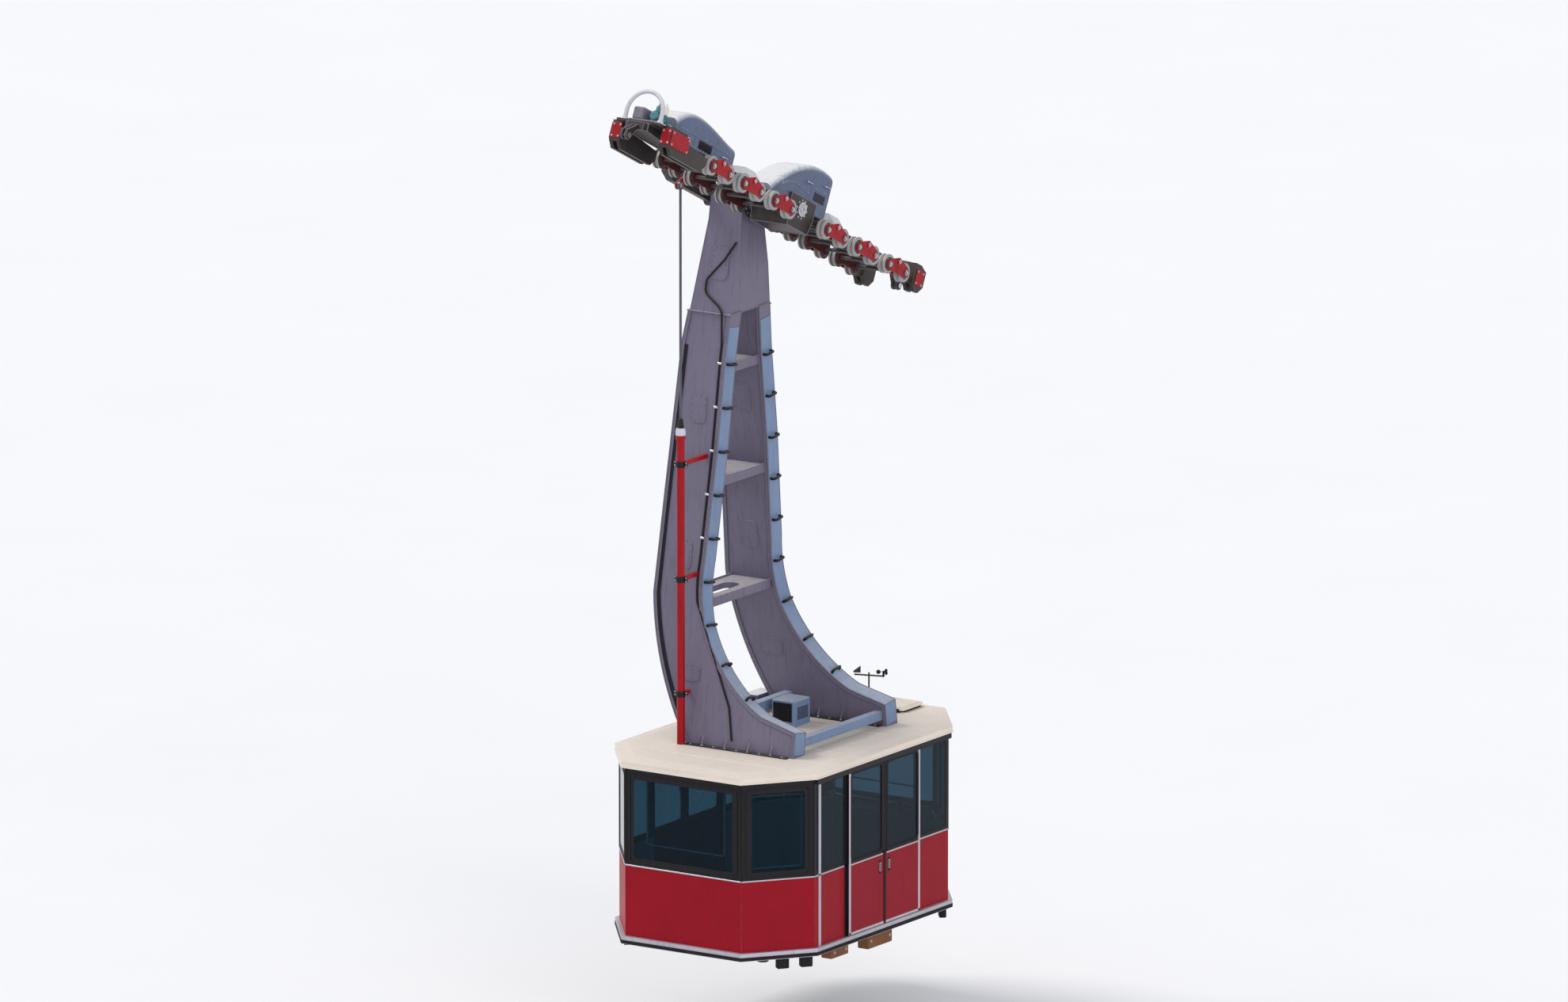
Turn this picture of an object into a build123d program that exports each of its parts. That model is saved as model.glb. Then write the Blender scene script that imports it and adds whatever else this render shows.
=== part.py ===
"""Aerial tramway vehicle: a twin-rope carriage, a C-shaped hanger and an eight-sided cabin.

Row frame: X along the direction of travel (+X is the lower end), Y across, Z up.
The origin lies midway between the two track ropes at the middle of the carriage.
"""

import math
import os

from build123d import *

os.makedirs("parts", exist_ok=True)

# Rope and carriage sizes, in millimetres and degrees
rope_slope = 26.0
rope_gauge = 800.0
rope_radius = 25.0
running_gap = 0.3
seat_gap = 0.3

roller_tread_radius = 118.0
roller_flange_radius = 134.0
roller_rim_depth = 36.0
roller_width = 100.0
roller_web = 32.0
roller_hub_radius = 52.0
roller_hub_proud = 3.0
groove_half_width = 26.0
axle_radius = 25.0
axle_overhang = 12.0
roller_pitch = 440.0
first_rocker = 720.0
rocker_pitch = 850.0
rockers_per_half = 3

rocker_cheek = 14.0
rocker_cheek_gap = 8.0
rocker_axle_boss = 72.0
rocker_pivot_boss = 52.0
pivot_height = 240.0
pivot_radius = 34.0
pivot_cap_radius = 43.0
pivot_cap = 10.0

spine_upper_length = 4000.0
spine_lower_length = 3000.0
spine_width = 360.0
spine_bottom = 180.0
spine_top = 310.0
spine_nose = 420.0
spine_tip_drop = 42.0

pin_height = 270.0
pin_radius = 70.0
pin_cap_radius = 100.0
pin_cap = 14.0
pin_collar_radius = 105.0
pin_housing_low = -20.0
pin_housing_top = 425.0
pin_housing_half = 330.0
pin_housing_nose = 270.0
pin_housing_right = -290.0
pin_housing_left = 300.0

hub_y = 780.0
hub_length = 520.0
hub_radius = 230.0
hub_side_gap = 8.0

outer_beam_y = 1130.0
outer_beam_width = 110.0
outer_beam_low = 190.0
outer_beam_top = 350.0
outer_beam_taper = 180.0
outer_beam_boss = 120.0

yoke_length = 260.0
yoke_depth = 170.0
yoke_bevel = 110.0

clevis_hole_radius = 25.0
clevis_ear = 25.0
clevis_gap = 44.0
clevis_reach = 210.0
clevis_drop = 170.0
clevis_ear_radius = 62.0
clevis_base = 40.0
clevis_foot_half_width = 130.0

hood_half_width = 255.0
hood_bottom = 285.0
hood_round = 110.0

brake_bottom = -38.0
brake_width = 170.0
brake_slot = 62.0
brake_slot_top = 50.0
brake_deck = 30.0
brake_nose = 100.0
hoop_set_back = 100.0
hoop_half_width = 285.0
hoop_top = 770.0
hoop_deck_side = 60.0
hoop_tube = 30.0
hoop_foot = 12.0

# Hanger sizes
roof_drop = 7200.0
foot_spread = 1160.0
head_spread = 185.0
arm_thickness = 260.0
arm_web_recess = 16.0
arm_flange = 42.0
head_sole = 20.0
head_sole_front = 560.0
head_sole_back = 1205.0
head_throat = 900.0
head_drop = 1490.0
head_depth = 700.0

# Swing damper sizes
damper_u = -1426.0
damper_w = 72.0
damper_y = 780.0
damper_tube_radius = 55.0
damper_wall = 7.0
damper_tube_height = 4460.0
damper_cap = 60.0
damper_collar_radius = 68.0
damper_collar = 90.0
stay_heights = [700.0, 2300.0, 3900.0]
stay_depth = 60.0
stay_width = 50.0
damper_rod_radius = 18.0
damper_rod_inside = 900.0
damper_lug_radius = 60.0
damper_lug_root = 240.0
damper_lug_width = 30.0
damper_eye_width = 34.0
damper_eye_gap = 6.0

# Cabin sizes
end_width = 1890.0
side_length = 3330.0
shell_length = 4990.0
shell_width = 3190.0
wall = 45.0
trim_overhang = 55.0
skirt_height = 110.0
panel_height = 980.0
window_band = 1370.0
sill_rail = 60.0
header_rail = 90.0
pillar = 55.0
window_radius = 60.0
glass = 8.0
roof_rim = 90.0
roof_crown = 35.0
roof_plateau = 200.0

pole_places = [-1250.0, 0.0, 1250.0]
pole_radius = 19.0
desk_depth = 320.0
desk_width = 1100.0
desk_height = 900.0
runner_length = 3300.0
runner_gauge = 1280.0
runner_width = 120.0
runner_depth = 130.0
cross_places = [-1400.0, 0.0, 1400.0]
buffer_places = [-1500.0, -800.0, 800.0, 1500.0]
buffer_radius = 95.0
buffer_depth = 110.0
locker_x = 480.0
locker_y = 200.0
locker_length = 420.0
locker_width = 380.0
locker_height = 360.0
locker_round = 40.0

door_opening = 1700.0
leaf_overlap = 40.0
leaf_thickness = 36.0
leaf_wall_gap = 8.0
leaf_gap = 5.0
leaf_clearance = 6.0
leaf_stile = 62.0
track_height = 75.0
track_slot = 16.0
track_slot_depth = 55.0
tongue_gap = 0.5

# Planes of the sloping carriage: along the ropes, seen from the side and seen end on
slope = math.radians(rope_slope)
along = Vector(math.cos(slope), 0, -math.sin(slope))
upright = Vector(math.sin(slope), 0, math.cos(slope))
deck = Plane(origin=(0, 0, 0), x_dir=along, z_dir=upright)
side_on = Plane(origin=(0, 0, 0), x_dir=along, z_dir=(0, -1, 0))


def end_on(station):
    """The plane across the carriage at a place along the ropes: X is the row's Y, and Y is up."""
    return Plane(origin=deck.from_local_coords((station, 0, 0)), x_dir=(0, 1, 0), z_dir=along)


def save(piece, name):
    """Labels a finished piece and writes it as one STEP file."""
    piece.part.label = name
    export_step(piece.part, f"parts/{name}.step")


# Places that several pieces share
axle_height = rope_radius + roller_tread_radius
rocker_stations = [
    side * (first_rocker + rocker_pitch * count)
    for side in (-1, 1)
    for count in range(rockers_per_half)
]
roller_stations = [
    rocker + end * roller_pitch / 2 for rocker in sorted(rocker_stations) for end in (-1, 1)
]
yoke_stations = [side * (first_rocker + rocker_pitch / 2) for side in (-1, 1)]
channel_inside = roller_width + 2 * rocker_cheek_gap
channel_outside = channel_inside + 2 * rocker_cheek
axle_half_length = rope_gauge / 2 + channel_outside / 2 + axle_overhang
pin_point = deck.from_local_coords((0, hub_y, pin_height))
hang_x = pin_point.X
pin_z = pin_point.Z
rim_z = -roof_drop
roof_top = rim_z + roof_rim + roof_crown
foot_z = roof_top + seat_gap
cabin_bottom = rim_z - (skirt_height + panel_height + window_band)
floor_z = cabin_bottom + skirt_height
belt_z = floor_z + panel_height

# Wheelsets: two grooved rollers on one axle, one under each name
rim_inner_radius = roller_flange_radius - roller_rim_depth
rope_y = rope_gauge / 2
for number, station in enumerate(roller_stations, start=1):
    axle_point = deck.from_local_coords((station, 0, axle_height))
    axle_section = Plane(origin=axle_point, x_dir=(0, 1, 0), z_dir=along)
    rim_face = roller_width / 2
    hub_face = rim_face + roller_hub_proud
    with BuildPart() as wheelset:
        with BuildSketch(axle_section):
            with BuildLine():
                outer = Polyline(
                    (0, 0),
                    (axle_half_length, 0),
                    (axle_half_length, axle_radius),
                    (rope_y + hub_face, axle_radius),
                    (rope_y + hub_face, roller_hub_radius),
                    (rope_y + roller_web / 2, roller_hub_radius),
                    (rope_y + roller_web / 2, rim_inner_radius),
                    (rope_y + rim_face, rim_inner_radius),
                    (rope_y + rim_face, roller_flange_radius),
                    (rope_y + groove_half_width, roller_flange_radius),
                )
                groove = ThreePointArc(
                    outer @ 1,
                    (rope_y, roller_tread_radius),
                    (rope_y - groove_half_width, roller_flange_radius),
                )
                Polyline(
                    groove @ 1,
                    (rope_y - rim_face, roller_flange_radius),
                    (rope_y - rim_face, rim_inner_radius),
                    (rope_y - roller_web / 2, rim_inner_radius),
                    (rope_y - roller_web / 2, roller_hub_radius),
                    (rope_y - hub_face, roller_hub_radius),
                    (rope_y - hub_face, axle_radius),
                    (0, axle_radius),
                    (0, 0),
                )
            make_face()
            mirror(about=Plane.YZ)
        revolve(axis=Axis(axle_point, (0, 1, 0)))
    save(wheelset, f"wheelset_{number:02d}")

# Rockers: four cheek plates over each two pairs of rollers, on a pivot tube from left to right
half_pitch = roller_pitch / 2
cheek_middle = (channel_inside + rocker_cheek) / 2
with BuildPart() as rockers:
    for station in rocker_stations:
        here = Plane(origin=deck.from_local_coords((station, 0, 0)), x_dir=along, z_dir=(0, -1, 0))
        for rope in (-1, 1):
            for cheek in (-1, 1):
                with BuildSketch(here.offset(rope * rope_y + cheek * cheek_middle)):
                    with Locations((-half_pitch, axle_height), (half_pitch, axle_height)):
                        Circle(rocker_axle_boss)
                    with Locations((0, pivot_height)):
                        Circle(rocker_pivot_boss)
                    make_hull()
                    with Locations((-half_pitch, axle_height), (half_pitch, axle_height)):
                        Circle(axle_radius + running_gap, mode=Mode.SUBTRACT)
                extrude(amount=rocker_cheek / 2, both=True)
        with BuildSketch(here):
            with Locations((0, pivot_height)):
                Circle(pivot_radius)
        extrude(amount=rope_y + channel_outside / 2, both=True)
        for rope in (-1, 1):
            with BuildSketch(here.offset(rope * (rope_y + channel_outside / 2 + pivot_cap / 2))):
                with Locations((0, pivot_height)):
                    Circle(pivot_cap_radius)
            extrude(amount=pivot_cap / 2, both=True)
save(rockers, "rockers")

# Spine: the central box girder that the rocker pivots pass through
spine_mid = (spine_bottom + spine_top) / 2
with BuildPart() as spine:
    with BuildSketch(side_on):
        with BuildLine():
            Polyline(
                (-spine_upper_length, spine_mid - spine_tip_drop),
                (-spine_upper_length + spine_nose, spine_bottom),
                (spine_lower_length - spine_nose, spine_bottom),
                (spine_lower_length, spine_mid - spine_tip_drop),
                (spine_lower_length, spine_top),
                (-spine_upper_length, spine_top),
                close=True,
            )
        make_face()
        with Locations(*[(station, pivot_height) for station in rocker_stations]):
            Circle(pivot_radius + seat_gap, mode=Mode.SUBTRACT)
    extrude(amount=spine_width / 2, both=True)
    housing_length = pin_housing_left - pin_housing_right
    with BuildSketch(side_on.offset(-pin_housing_left)):
        with BuildLine():
            Polyline(
                (-pin_housing_half, spine_bottom),
                (-pin_housing_nose, pin_housing_low),
                (pin_housing_nose, pin_housing_low),
                (pin_housing_half, spine_bottom),
                (pin_housing_half, pin_housing_top),
                (-pin_housing_half, pin_housing_top),
                close=True,
            )
        make_face()
    extrude(amount=housing_length)
    with BuildSketch(side_on.offset(-pin_housing_left)):
        with Locations((0, pin_height)):
            Circle(pin_radius + seat_gap)
    extrude(amount=housing_length, mode=Mode.SUBTRACT)
save(spine, "spine_beam")

# Outer beam: a short girder outside the left rope that carries the pin's far end
outer_face = outer_beam_y + outer_beam_width
outer_half_length = first_rocker + rocker_pitch / 2 + yoke_length / 2
with BuildPart() as outer_beam:
    with BuildSketch(side_on.offset(-outer_beam_y)):
        with BuildLine():
            Polyline(
                (-outer_half_length, (outer_beam_low + outer_beam_top) / 2),
                (-outer_half_length + outer_beam_taper, outer_beam_low),
                (outer_half_length - outer_beam_taper, outer_beam_low),
                (outer_half_length, (outer_beam_low + outer_beam_top) / 2),
                (outer_half_length, outer_beam_top),
                (-outer_half_length, outer_beam_top),
                close=True,
            )
        make_face()
        with Locations((0, pin_height)):
            Circle(outer_beam_boss)
            Circle(pin_radius + seat_gap, mode=Mode.SUBTRACT)
    extrude(amount=-outer_beam_width)
save(outer_beam, "outer_beam")

# Yokes: goosenecks over the left rope, from the spine's top to the outer beam
with BuildPart() as yokes:
    for station in yoke_stations:
        with BuildSketch(end_on(station)):
            with BuildLine():
                Polyline(
                    (-spine_width / 2, spine_top),
                    (outer_beam_y - seat_gap, spine_top),
                    (outer_beam_y - seat_gap, outer_beam_top),
                    (outer_face, outer_beam_top),
                    (outer_face, spine_top + yoke_depth - yoke_bevel),
                    (outer_face - yoke_bevel, spine_top + yoke_depth),
                    (-spine_width / 2 + yoke_bevel, spine_top + yoke_depth),
                    (-spine_width / 2, spine_top + yoke_depth - yoke_bevel),
                    close=True,
                )
            make_face()
        extrude(amount=yoke_length / 2, both=True)
save(yokes, "yokes")

# Hanger pin: a stepped shaft through the housing, the hanger's hub and the outer beam
hub_right = hub_y - hub_length / 2
hub_left = hub_y + hub_length / 2
pin_steps = [
    (pin_housing_right - pin_cap, pin_cap, pin_cap_radius),
    (pin_housing_right, outer_face - pin_housing_right, pin_radius),
    (pin_housing_left + seat_gap, hub_right - hub_side_gap - pin_housing_left - seat_gap, pin_collar_radius),
    (hub_left + hub_side_gap, outer_beam_y - seat_gap - hub_left - hub_side_gap, pin_collar_radius),
    (outer_face + seat_gap, pin_cap, pin_cap_radius),
]
with BuildPart() as hanger_pin:
    for start, length, radius in pin_steps:
        with BuildSketch(side_on.offset(-start)):
            with Locations((0, pin_height)):
                Circle(radius)
        extrude(amount=-length)
    with BuildSketch(side_on.offset(-outer_face)):
        with Locations((0, pin_height)):
            Circle(pin_radius)
    extrude(amount=-pin_cap)
save(hanger_pin, "hanger_pin")

# Haul rope clevises: a foot on each end of the spine and two ears for the rope socket's pin
clevis_foot_low = spine_mid - spine_tip_drop
clevis_eye_w = spine_mid - clevis_drop
clevis_half_width = clevis_gap / 2 + clevis_ear
with BuildPart() as clevises:
    for end, spine_end in ((-1, spine_upper_length), (1, spine_lower_length)):
        eye_u = spine_end + clevis_reach
        with BuildSketch(side_on):
            with Locations((end * (spine_end + clevis_base / 2), (clevis_foot_low + spine_top) / 2)):
                Rectangle(clevis_base, spine_top - clevis_foot_low)
        extrude(amount=clevis_foot_half_width, both=True)
        with BuildSketch(side_on):
            with BuildLine():
                eye_arc = CenterArc(
                    (end * eye_u, clevis_eye_w), clevis_ear_radius, 180 if end > 0 else 0, end * 180
                )
                Polyline(
                    eye_arc @ 1,
                    (end * (eye_u + clevis_ear_radius), clevis_eye_w + clevis_ear_radius),
                    (end * (spine_end + clevis_base), spine_top - clevis_base),
                    (end * (spine_end + clevis_base), clevis_foot_low),
                    eye_arc @ 0,
                )
            make_face()
            with Locations((end * eye_u, clevis_eye_w)):
                Circle(clevis_hole_radius, mode=Mode.SUBTRACT)
        extrude(amount=clevis_half_width, both=True)
        with BuildSketch(side_on):
            with Locations((end * (eye_u + clevis_base / 4), spine_mid)):
                Rectangle(2 * (clevis_reach - clevis_base), 3 * spine_top)
        extrude(amount=clevis_gap / 2, both=True, mode=Mode.SUBTRACT)
save(clevises, "haul_rope_clevises")

# Hoods on the spine: side outlines as rows of (along, up), front to rear
# The front hood's places count from the spine's upper end, the centre hood's from the pin
front_hood_outline = [(580.0, 560.0), (780.0, 690.0), (1340.0, 735.0), (2120.0, 580.0)]
centre_hood_outline = [(-800.0, 400.0), (-500.0, 640.0), (-120.0, 850.0), (320.0, 945.0), (640.0, 915.0)]


def hood(outline):
    """A smooth-topped cover that sits on the spine and the pin's housing, its long edges rounded."""
    first = outline[0][0]
    last = outline[-1][0]
    with BuildPart() as cover:
        with BuildSketch(side_on):
            with BuildLine():
                crest = Spline(*outline)
                Polyline(crest @ 1, (last, hood_bottom), (first, hood_bottom), crest @ 0)
            make_face()
        extrude(amount=hood_half_width, both=True)
        long_edges = cover.edges().filter_by(GeomType.BSPLINE)
        fillet(long_edges, radius=hood_round)
        with BuildSketch(side_on):
            with Locations(((first + last) / 2, (hood_bottom + spine_top) / 2)):
                Rectangle(2 * (last - first), spine_top - hood_bottom)
        extrude(amount=spine_width / 2 + seat_gap, both=True, mode=Mode.SUBTRACT)
        with BuildSketch(side_on.offset(-pin_housing_left - seat_gap)):
            with Locations((0, (pin_housing_low + pin_housing_top) / 2)):
                Rectangle(2 * (pin_housing_half + seat_gap), pin_housing_top + 2 * seat_gap - pin_housing_low)
        extrude(amount=housing_length + 2 * seat_gap, mode=Mode.SUBTRACT)
    return cover


front_hood = hood([(place - spine_upper_length, rise) for place, rise in front_hood_outline])
save(front_hood, "front_hood")
centre_hood = hood(centre_hood_outline)
save(centre_hood, "centre_hood")

# Rope brakes: decks on the spine's ends that hold a saddle housing over each rope
# Rows of (spine's end, housing's start from it, its stop, the deck's stop, housing's low top)
brake_table = [
    (-spine_upper_length, 150.0, 1120.0, 540.0, 230.0),
    (spine_lower_length, -170.0, 120.0, -10.0, 330.0),
]
deck_top = spine_top + seat_gap + brake_deck
with BuildPart() as brakes:
    for spine_end, start, stop, deck_stop, low_top in brake_table:
        low = spine_end + start
        high = spine_end + stop
        deck_high = spine_end + deck_stop
        with BuildSketch(deck.offset(spine_top + seat_gap)):
            with Locations(((low + deck_high) / 2, 0)):
                Rectangle(deck_high - low, rope_gauge + brake_width)
        extrude(amount=brake_deck)
        for rope in (-1, 1):
            with BuildSketch(side_on.offset(rope * rope_y)):
                with BuildLine():
                    Polyline(
                        (low, deck_top),
                        (low, brake_bottom + brake_nose),
                        (low + brake_nose, brake_bottom),
                        (high - brake_nose, brake_bottom),
                        (high, brake_bottom + brake_nose),
                        (high, min(low_top, deck_top) - brake_nose / 2),
                        (deck_high, min(low_top, deck_top)),
                        (deck_high, deck_top),
                        close=True,
                    )
                make_face()
            extrude(amount=brake_width / 2, both=True)
            with BuildSketch(side_on.offset(rope * rope_y)):
                with Locations(((low + high) / 2, (brake_bottom + brake_slot_top) / 2)):
                    Rectangle(2 * (high - low), brake_slot_top - brake_bottom)
            extrude(amount=brake_slot / 2, both=True, mode=Mode.SUBTRACT)
    hoop_deck_length = brake_table[0][3]
    with BuildSketch(deck.offset(spine_top + seat_gap)):
        with Locations((hoop_deck_length / 2 - spine_upper_length, 0)):
            Rectangle(hoop_deck_length, 2 * (hoop_half_width + hoop_deck_side))
    extrude(amount=brake_deck)
save(brakes, "rope_brakes")

# Guard hoop: a round-topped tube across the upper end, on two feet
hoop_foot_w = deck_top + seat_gap
hoop_u = hoop_set_back - spine_upper_length
hoop_spring = hoop_top - hoop_half_width
with BuildPart() as hoop:
    with BuildLine(end_on(hoop_u)):
        right_leg = Line((-hoop_half_width, hoop_foot_w), (-hoop_half_width, hoop_spring))
        crown = ThreePointArc(right_leg @ 1, (0, hoop_top), (hoop_half_width, hoop_spring))
        Line(crown @ 1, (hoop_half_width, hoop_foot_w))
    with BuildSketch(deck.offset(hoop_foot_w)):
        with Locations((hoop_u, -hoop_half_width)):
            Circle(hoop_tube)
    sweep()
    with BuildSketch(deck.offset(hoop_foot_w)):
        with Locations((hoop_u, -hoop_half_width), (hoop_u, hoop_half_width)):
            Rectangle(4 * hoop_tube, 4 * hoop_tube)
    extrude(amount=hoop_foot)
save(hoop, "guard_hoop")

# Hanger arms: C-shaped box girders that lean together towards the head
arm_rise = (pin_z - hub_radius) - foot_z
arm_lean = math.atan2(foot_spread - head_spread, arm_rise)
head_bottom_z = pin_z - head_drop
neck_reach = (head_bottom_z - foot_z) / math.cos(arm_lean)
neck_lap = 270.0


def arm_plane(end):
    """The leaning plane through the middle of one arm: X is the row's Y, and Y goes up the arm."""
    origin = (hang_x + end * foot_spread, 0, foot_z)
    return Plane(
        origin=origin, x_dir=(0, 1, 0), z_dir=(math.cos(arm_lean), 0, end * math.sin(arm_lean))
    )


def arm_outline(plane, inset=0.0):
    """The C of an arm, as across and up from the foot: a heel, a belly, a neck and a crook."""
    with BuildSketch(plane) as outline:
        with BuildLine():
            sole = Line((-1000, -140), (680, -140))
            heel = Line(sole @ 1, (790, 60))
            belly = ThreePointArc(heel @ 1, (1190, 850), (1455, 1980))
            back = ThreePointArc(belly @ 1, (1425, 2900), (1385, 3800))
            shoulder = Polyline(back @ 1, (1305, neck_reach - 460), (1190, neck_reach + neck_lap))
            neck = Polyline(
                shoulder @ 1, (540, neck_reach + neck_lap), (582, neck_reach - 580), (600, 4000), (665, 2500)
            )
            bend = ThreePointArc(neck @ 1, (668, 2000), (600, 1640))
            crook = ThreePointArc(bend @ 1, (230, 1010), (-430, 480))
            Polyline(crook @ 1, (-1000, 330), sole @ 0)
        make_face()
        if inset:
            offset(amount=-inset, kind=Kind.INTERSECTION, mode=Mode.REPLACE)
    return outline.sketch


for end, name in ((-1, "hanger_arm_front"), (1, "hanger_arm_rear")):
    with BuildPart() as arm:
        extrude(arm_outline(arm_plane(end)), amount=arm_thickness / 2, both=True)
        for face in (-1, 1):
            web = arm_outline(arm_plane(end).offset(face * arm_thickness / 2), arm_flange)
            extrude(web, amount=-face * arm_web_recess, mode=Mode.SUBTRACT)
        split(bisect_by=Plane.XY.offset(foot_z), keep=Keep.TOP)
        split(bisect_by=Plane.XY.offset(head_bottom_z), keep=Keep.BOTTOM)
    save(arm, name)


def arm_middle_x(height):
    """Half the distance between the arms' middles at a height above the foot."""
    return foot_spread - height * math.tan(arm_lean)


# Hanger head: a tapered box that closes over both arms and ends in the hub on the pin
half_thickness = arm_thickness / 2 / math.cos(arm_lean)
head_half_width = arm_middle_x(head_bottom_z - foot_z) + half_thickness
head_side_on = Plane(origin=(hang_x, 0, pin_z), x_dir=(1, 0, 0), z_dir=(0, -1, 0))
head_end_on = Plane(origin=(hang_x, 0, pin_z), x_dir=(0, 1, 0), z_dir=(1, 0, 0))


def head_profile(plane):
    """The head seen end on, as across and up from the pin: narrow at the hub and wide below."""
    with BuildSketch(plane) as profile:
        with BuildLine():
            Polyline(
                (hub_right, hub_radius),
                (hub_left, hub_radius),
                (hub_left, -hub_radius),
                (head_sole_back, -head_drop + seat_gap),
                (head_sole_front, -head_drop + seat_gap),
                (hub_right, -head_throat),
                close=True,
            )
        make_face()
    return profile.sketch


with BuildPart() as head:
    with BuildSketch(head_side_on.offset(-hub_right - head_depth)):
        Circle(hub_radius)
        with Locations((0, -head_drop + seat_gap + head_sole / 2)):
            Rectangle(2 * head_half_width, head_sole)
        make_hull()
        Circle(pin_radius + running_gap, mode=Mode.SUBTRACT)
    extrude(amount=head_depth)
    extrude(head_profile(head_end_on), amount=head_half_width, both=True, mode=Mode.INTERSECT)
save(head, "hanger_head")

# Bars between the arms: rows of (height above the foot, depth of section, low Y, high Y, hole length)
bar_tables = {
    "arm_ties": [
        (5065.0, 70.0, 640.0, 1250.0, 0.0),
        (3515.0, 80.0, 670.0, 1330.0, 0.0),
        (1845.0, 80.0, 730.0, 1370.0, 760.0),
    ],
    "foot_bars": [
        (240.0, 130.0, 520.0, 650.0, 0.0),
        (150.0, 120.0, -945.0, -825.0, 0.0),
    ],
}
tie_hole_width = 260.0


def arm_outer_x(height):
    """The distance out to the arms' outer webs at a height above the foot, and a seat's gap."""
    return arm_middle_x(height) + half_thickness - arm_web_recess / math.cos(arm_lean) + seat_gap


def arm_inner_x(height):
    """Half the distance between the arms' webs at a height above the foot, less a seat's gap."""
    return arm_middle_x(height) - half_thickness + arm_web_recess / math.cos(arm_lean) - seat_gap


for name, rows in bar_tables.items():
    with BuildPart() as bars:
        for height, depth, low_y, high_y, hole in rows:
            low = height - depth / 2
            high = height + depth / 2
            bar_end = Plane(origin=(hang_x, high_y, foot_z), x_dir=(1, 0, 0), z_dir=(0, -1, 0))
            with BuildSketch(bar_end):
                with BuildLine():
                    Polyline(
                        (-arm_inner_x(low), low),
                        (arm_inner_x(low), low),
                        (arm_inner_x(high), high),
                        (-arm_inner_x(high), high),
                        close=True,
                    )
                make_face()
            extrude(amount=high_y - low_y)
            if hole:
                with BuildSketch(Plane.XY.offset(foot_z + low)):
                    with Locations((hang_x, (low_y + high_y) / 2)):
                        SlotOverall(hole, tie_hole_width)
                extrude(amount=depth, mode=Mode.SUBTRACT)
    save(bars, name)

# Swing damper: a lug under the upper yoke, a tube in front of the hanger and its rod
damper_eye = deck.from_local_coords((damper_u, damper_y, damper_w))
damper_top_z = rim_z + damper_tube_height
damper_foot_z = roof_top + seat_gap
lug_face = damper_y + damper_eye_width / 2 + damper_eye_gap
with BuildPart() as damper_bracket:
    with BuildSketch(side_on.offset(-lug_face)):
        with Locations((damper_u, damper_w)):
            Circle(damper_lug_radius)
        with Locations((yoke_stations[0], spine_top - seat_gap - head_sole / 2)):
            Rectangle(damper_lug_root, head_sole)
        make_hull()
    extrude(amount=-damper_lug_width)
save(damper_bracket, "damper_bracket")

with BuildPart() as damper_tube:
    with BuildSketch(Plane.XY.offset(damper_foot_z)):
        with Locations((damper_eye.X, damper_y)):
            Circle(damper_tube_radius)
    extrude(amount=damper_top_z - damper_foot_z)
    with BuildSketch(Plane.XY.offset(damper_top_z - damper_collar)):
        with Locations((damper_eye.X, damper_y)):
            Circle(damper_collar_radius)
    extrude(amount=damper_collar)
    for height in stay_heights:
        low = height - stay_depth / 2
        high = height + stay_depth / 2
        stay_side = Plane(origin=(hang_x, damper_y, foot_z), x_dir=(1, 0, 0), z_dir=(0, -1, 0))
        with BuildSketch(stay_side):
            with BuildLine():
                Polyline(
                    (damper_eye.X - hang_x, low),
                    (-arm_outer_x(low), low),
                    (-arm_outer_x(high), high),
                    (damper_eye.X - hang_x, high),
                    close=True,
                )
            make_face()
        extrude(amount=stay_width / 2, both=True)
    with BuildSketch(Plane.XY.offset(damper_foot_z)):
        with Locations((damper_eye.X, damper_y)):
            Circle(damper_tube_radius - damper_wall)
    extrude(amount=damper_top_z - damper_cap - damper_foot_z, mode=Mode.SUBTRACT)
    with BuildSketch(Plane.XY.offset(damper_top_z)):
        with Locations((damper_eye.X, damper_y)):
            Circle(damper_rod_radius + running_gap)
    extrude(amount=-damper_cap, mode=Mode.SUBTRACT)
save(damper_tube, "damper_tube")

with BuildPart() as damper_rod:
    with BuildSketch(Plane.XY.offset(damper_top_z - damper_rod_inside)):
        with Locations((damper_eye.X, damper_y)):
            Circle(damper_rod_radius)
    extrude(amount=damper_eye.Z - (damper_top_z - damper_rod_inside))
    with BuildSketch(Plane.XZ.offset(-damper_y)):
        with Locations((damper_eye.X, damper_eye.Z)):
            Circle(damper_lug_radius)
    extrude(amount=damper_eye_width / 2, both=True)
save(damper_rod, "damper_rod")

# The cabin's eight corners, counter-clockwise from above, starting at the front left
half_end = end_width / 2
half_side = side_length / 2
half_length = shell_length / 2
half_width = shell_width / 2
corners = [
    (-half_length, half_end),
    (-half_length, -half_end),
    (-half_side, -half_width),
    (half_side, -half_width),
    (half_length, -half_end),
    (half_length, half_end),
    (half_side, half_width),
    (-half_side, half_width),
]
shell_points = [Vector(hang_x + x, y) for x, y in corners]
count = len(shell_points)


def facet_normal(index):
    """The outward direction of the wall that starts at a corner."""
    step = shell_points[(index + 1) % count] - shell_points[index]
    return Vector(step.Y, -step.X, 0).normalized()


def inner_corner(index, depth):
    """The point under a corner that is the same depth inside both of its walls."""
    before = facet_normal((index - 1) % count)
    after = facet_normal(index)
    return shell_points[index] - (before + after) * (depth / (1 + before.dot(after)))


def facet_plane(index, level):
    """A plane on the outer face of a wall: X along the wall, Y up, Z outwards."""
    start = shell_points[index]
    stop = shell_points[(index + 1) % count]
    middle = (start + stop) / 2
    return Plane(
        origin=(middle.X, middle.Y, level), x_dir=(stop - start).normalized(), z_dir=facet_normal(index)
    )


def facet_length(index):
    """The length of a wall along its outer face."""
    return (shell_points[(index + 1) % count] - shell_points[index]).length


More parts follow.
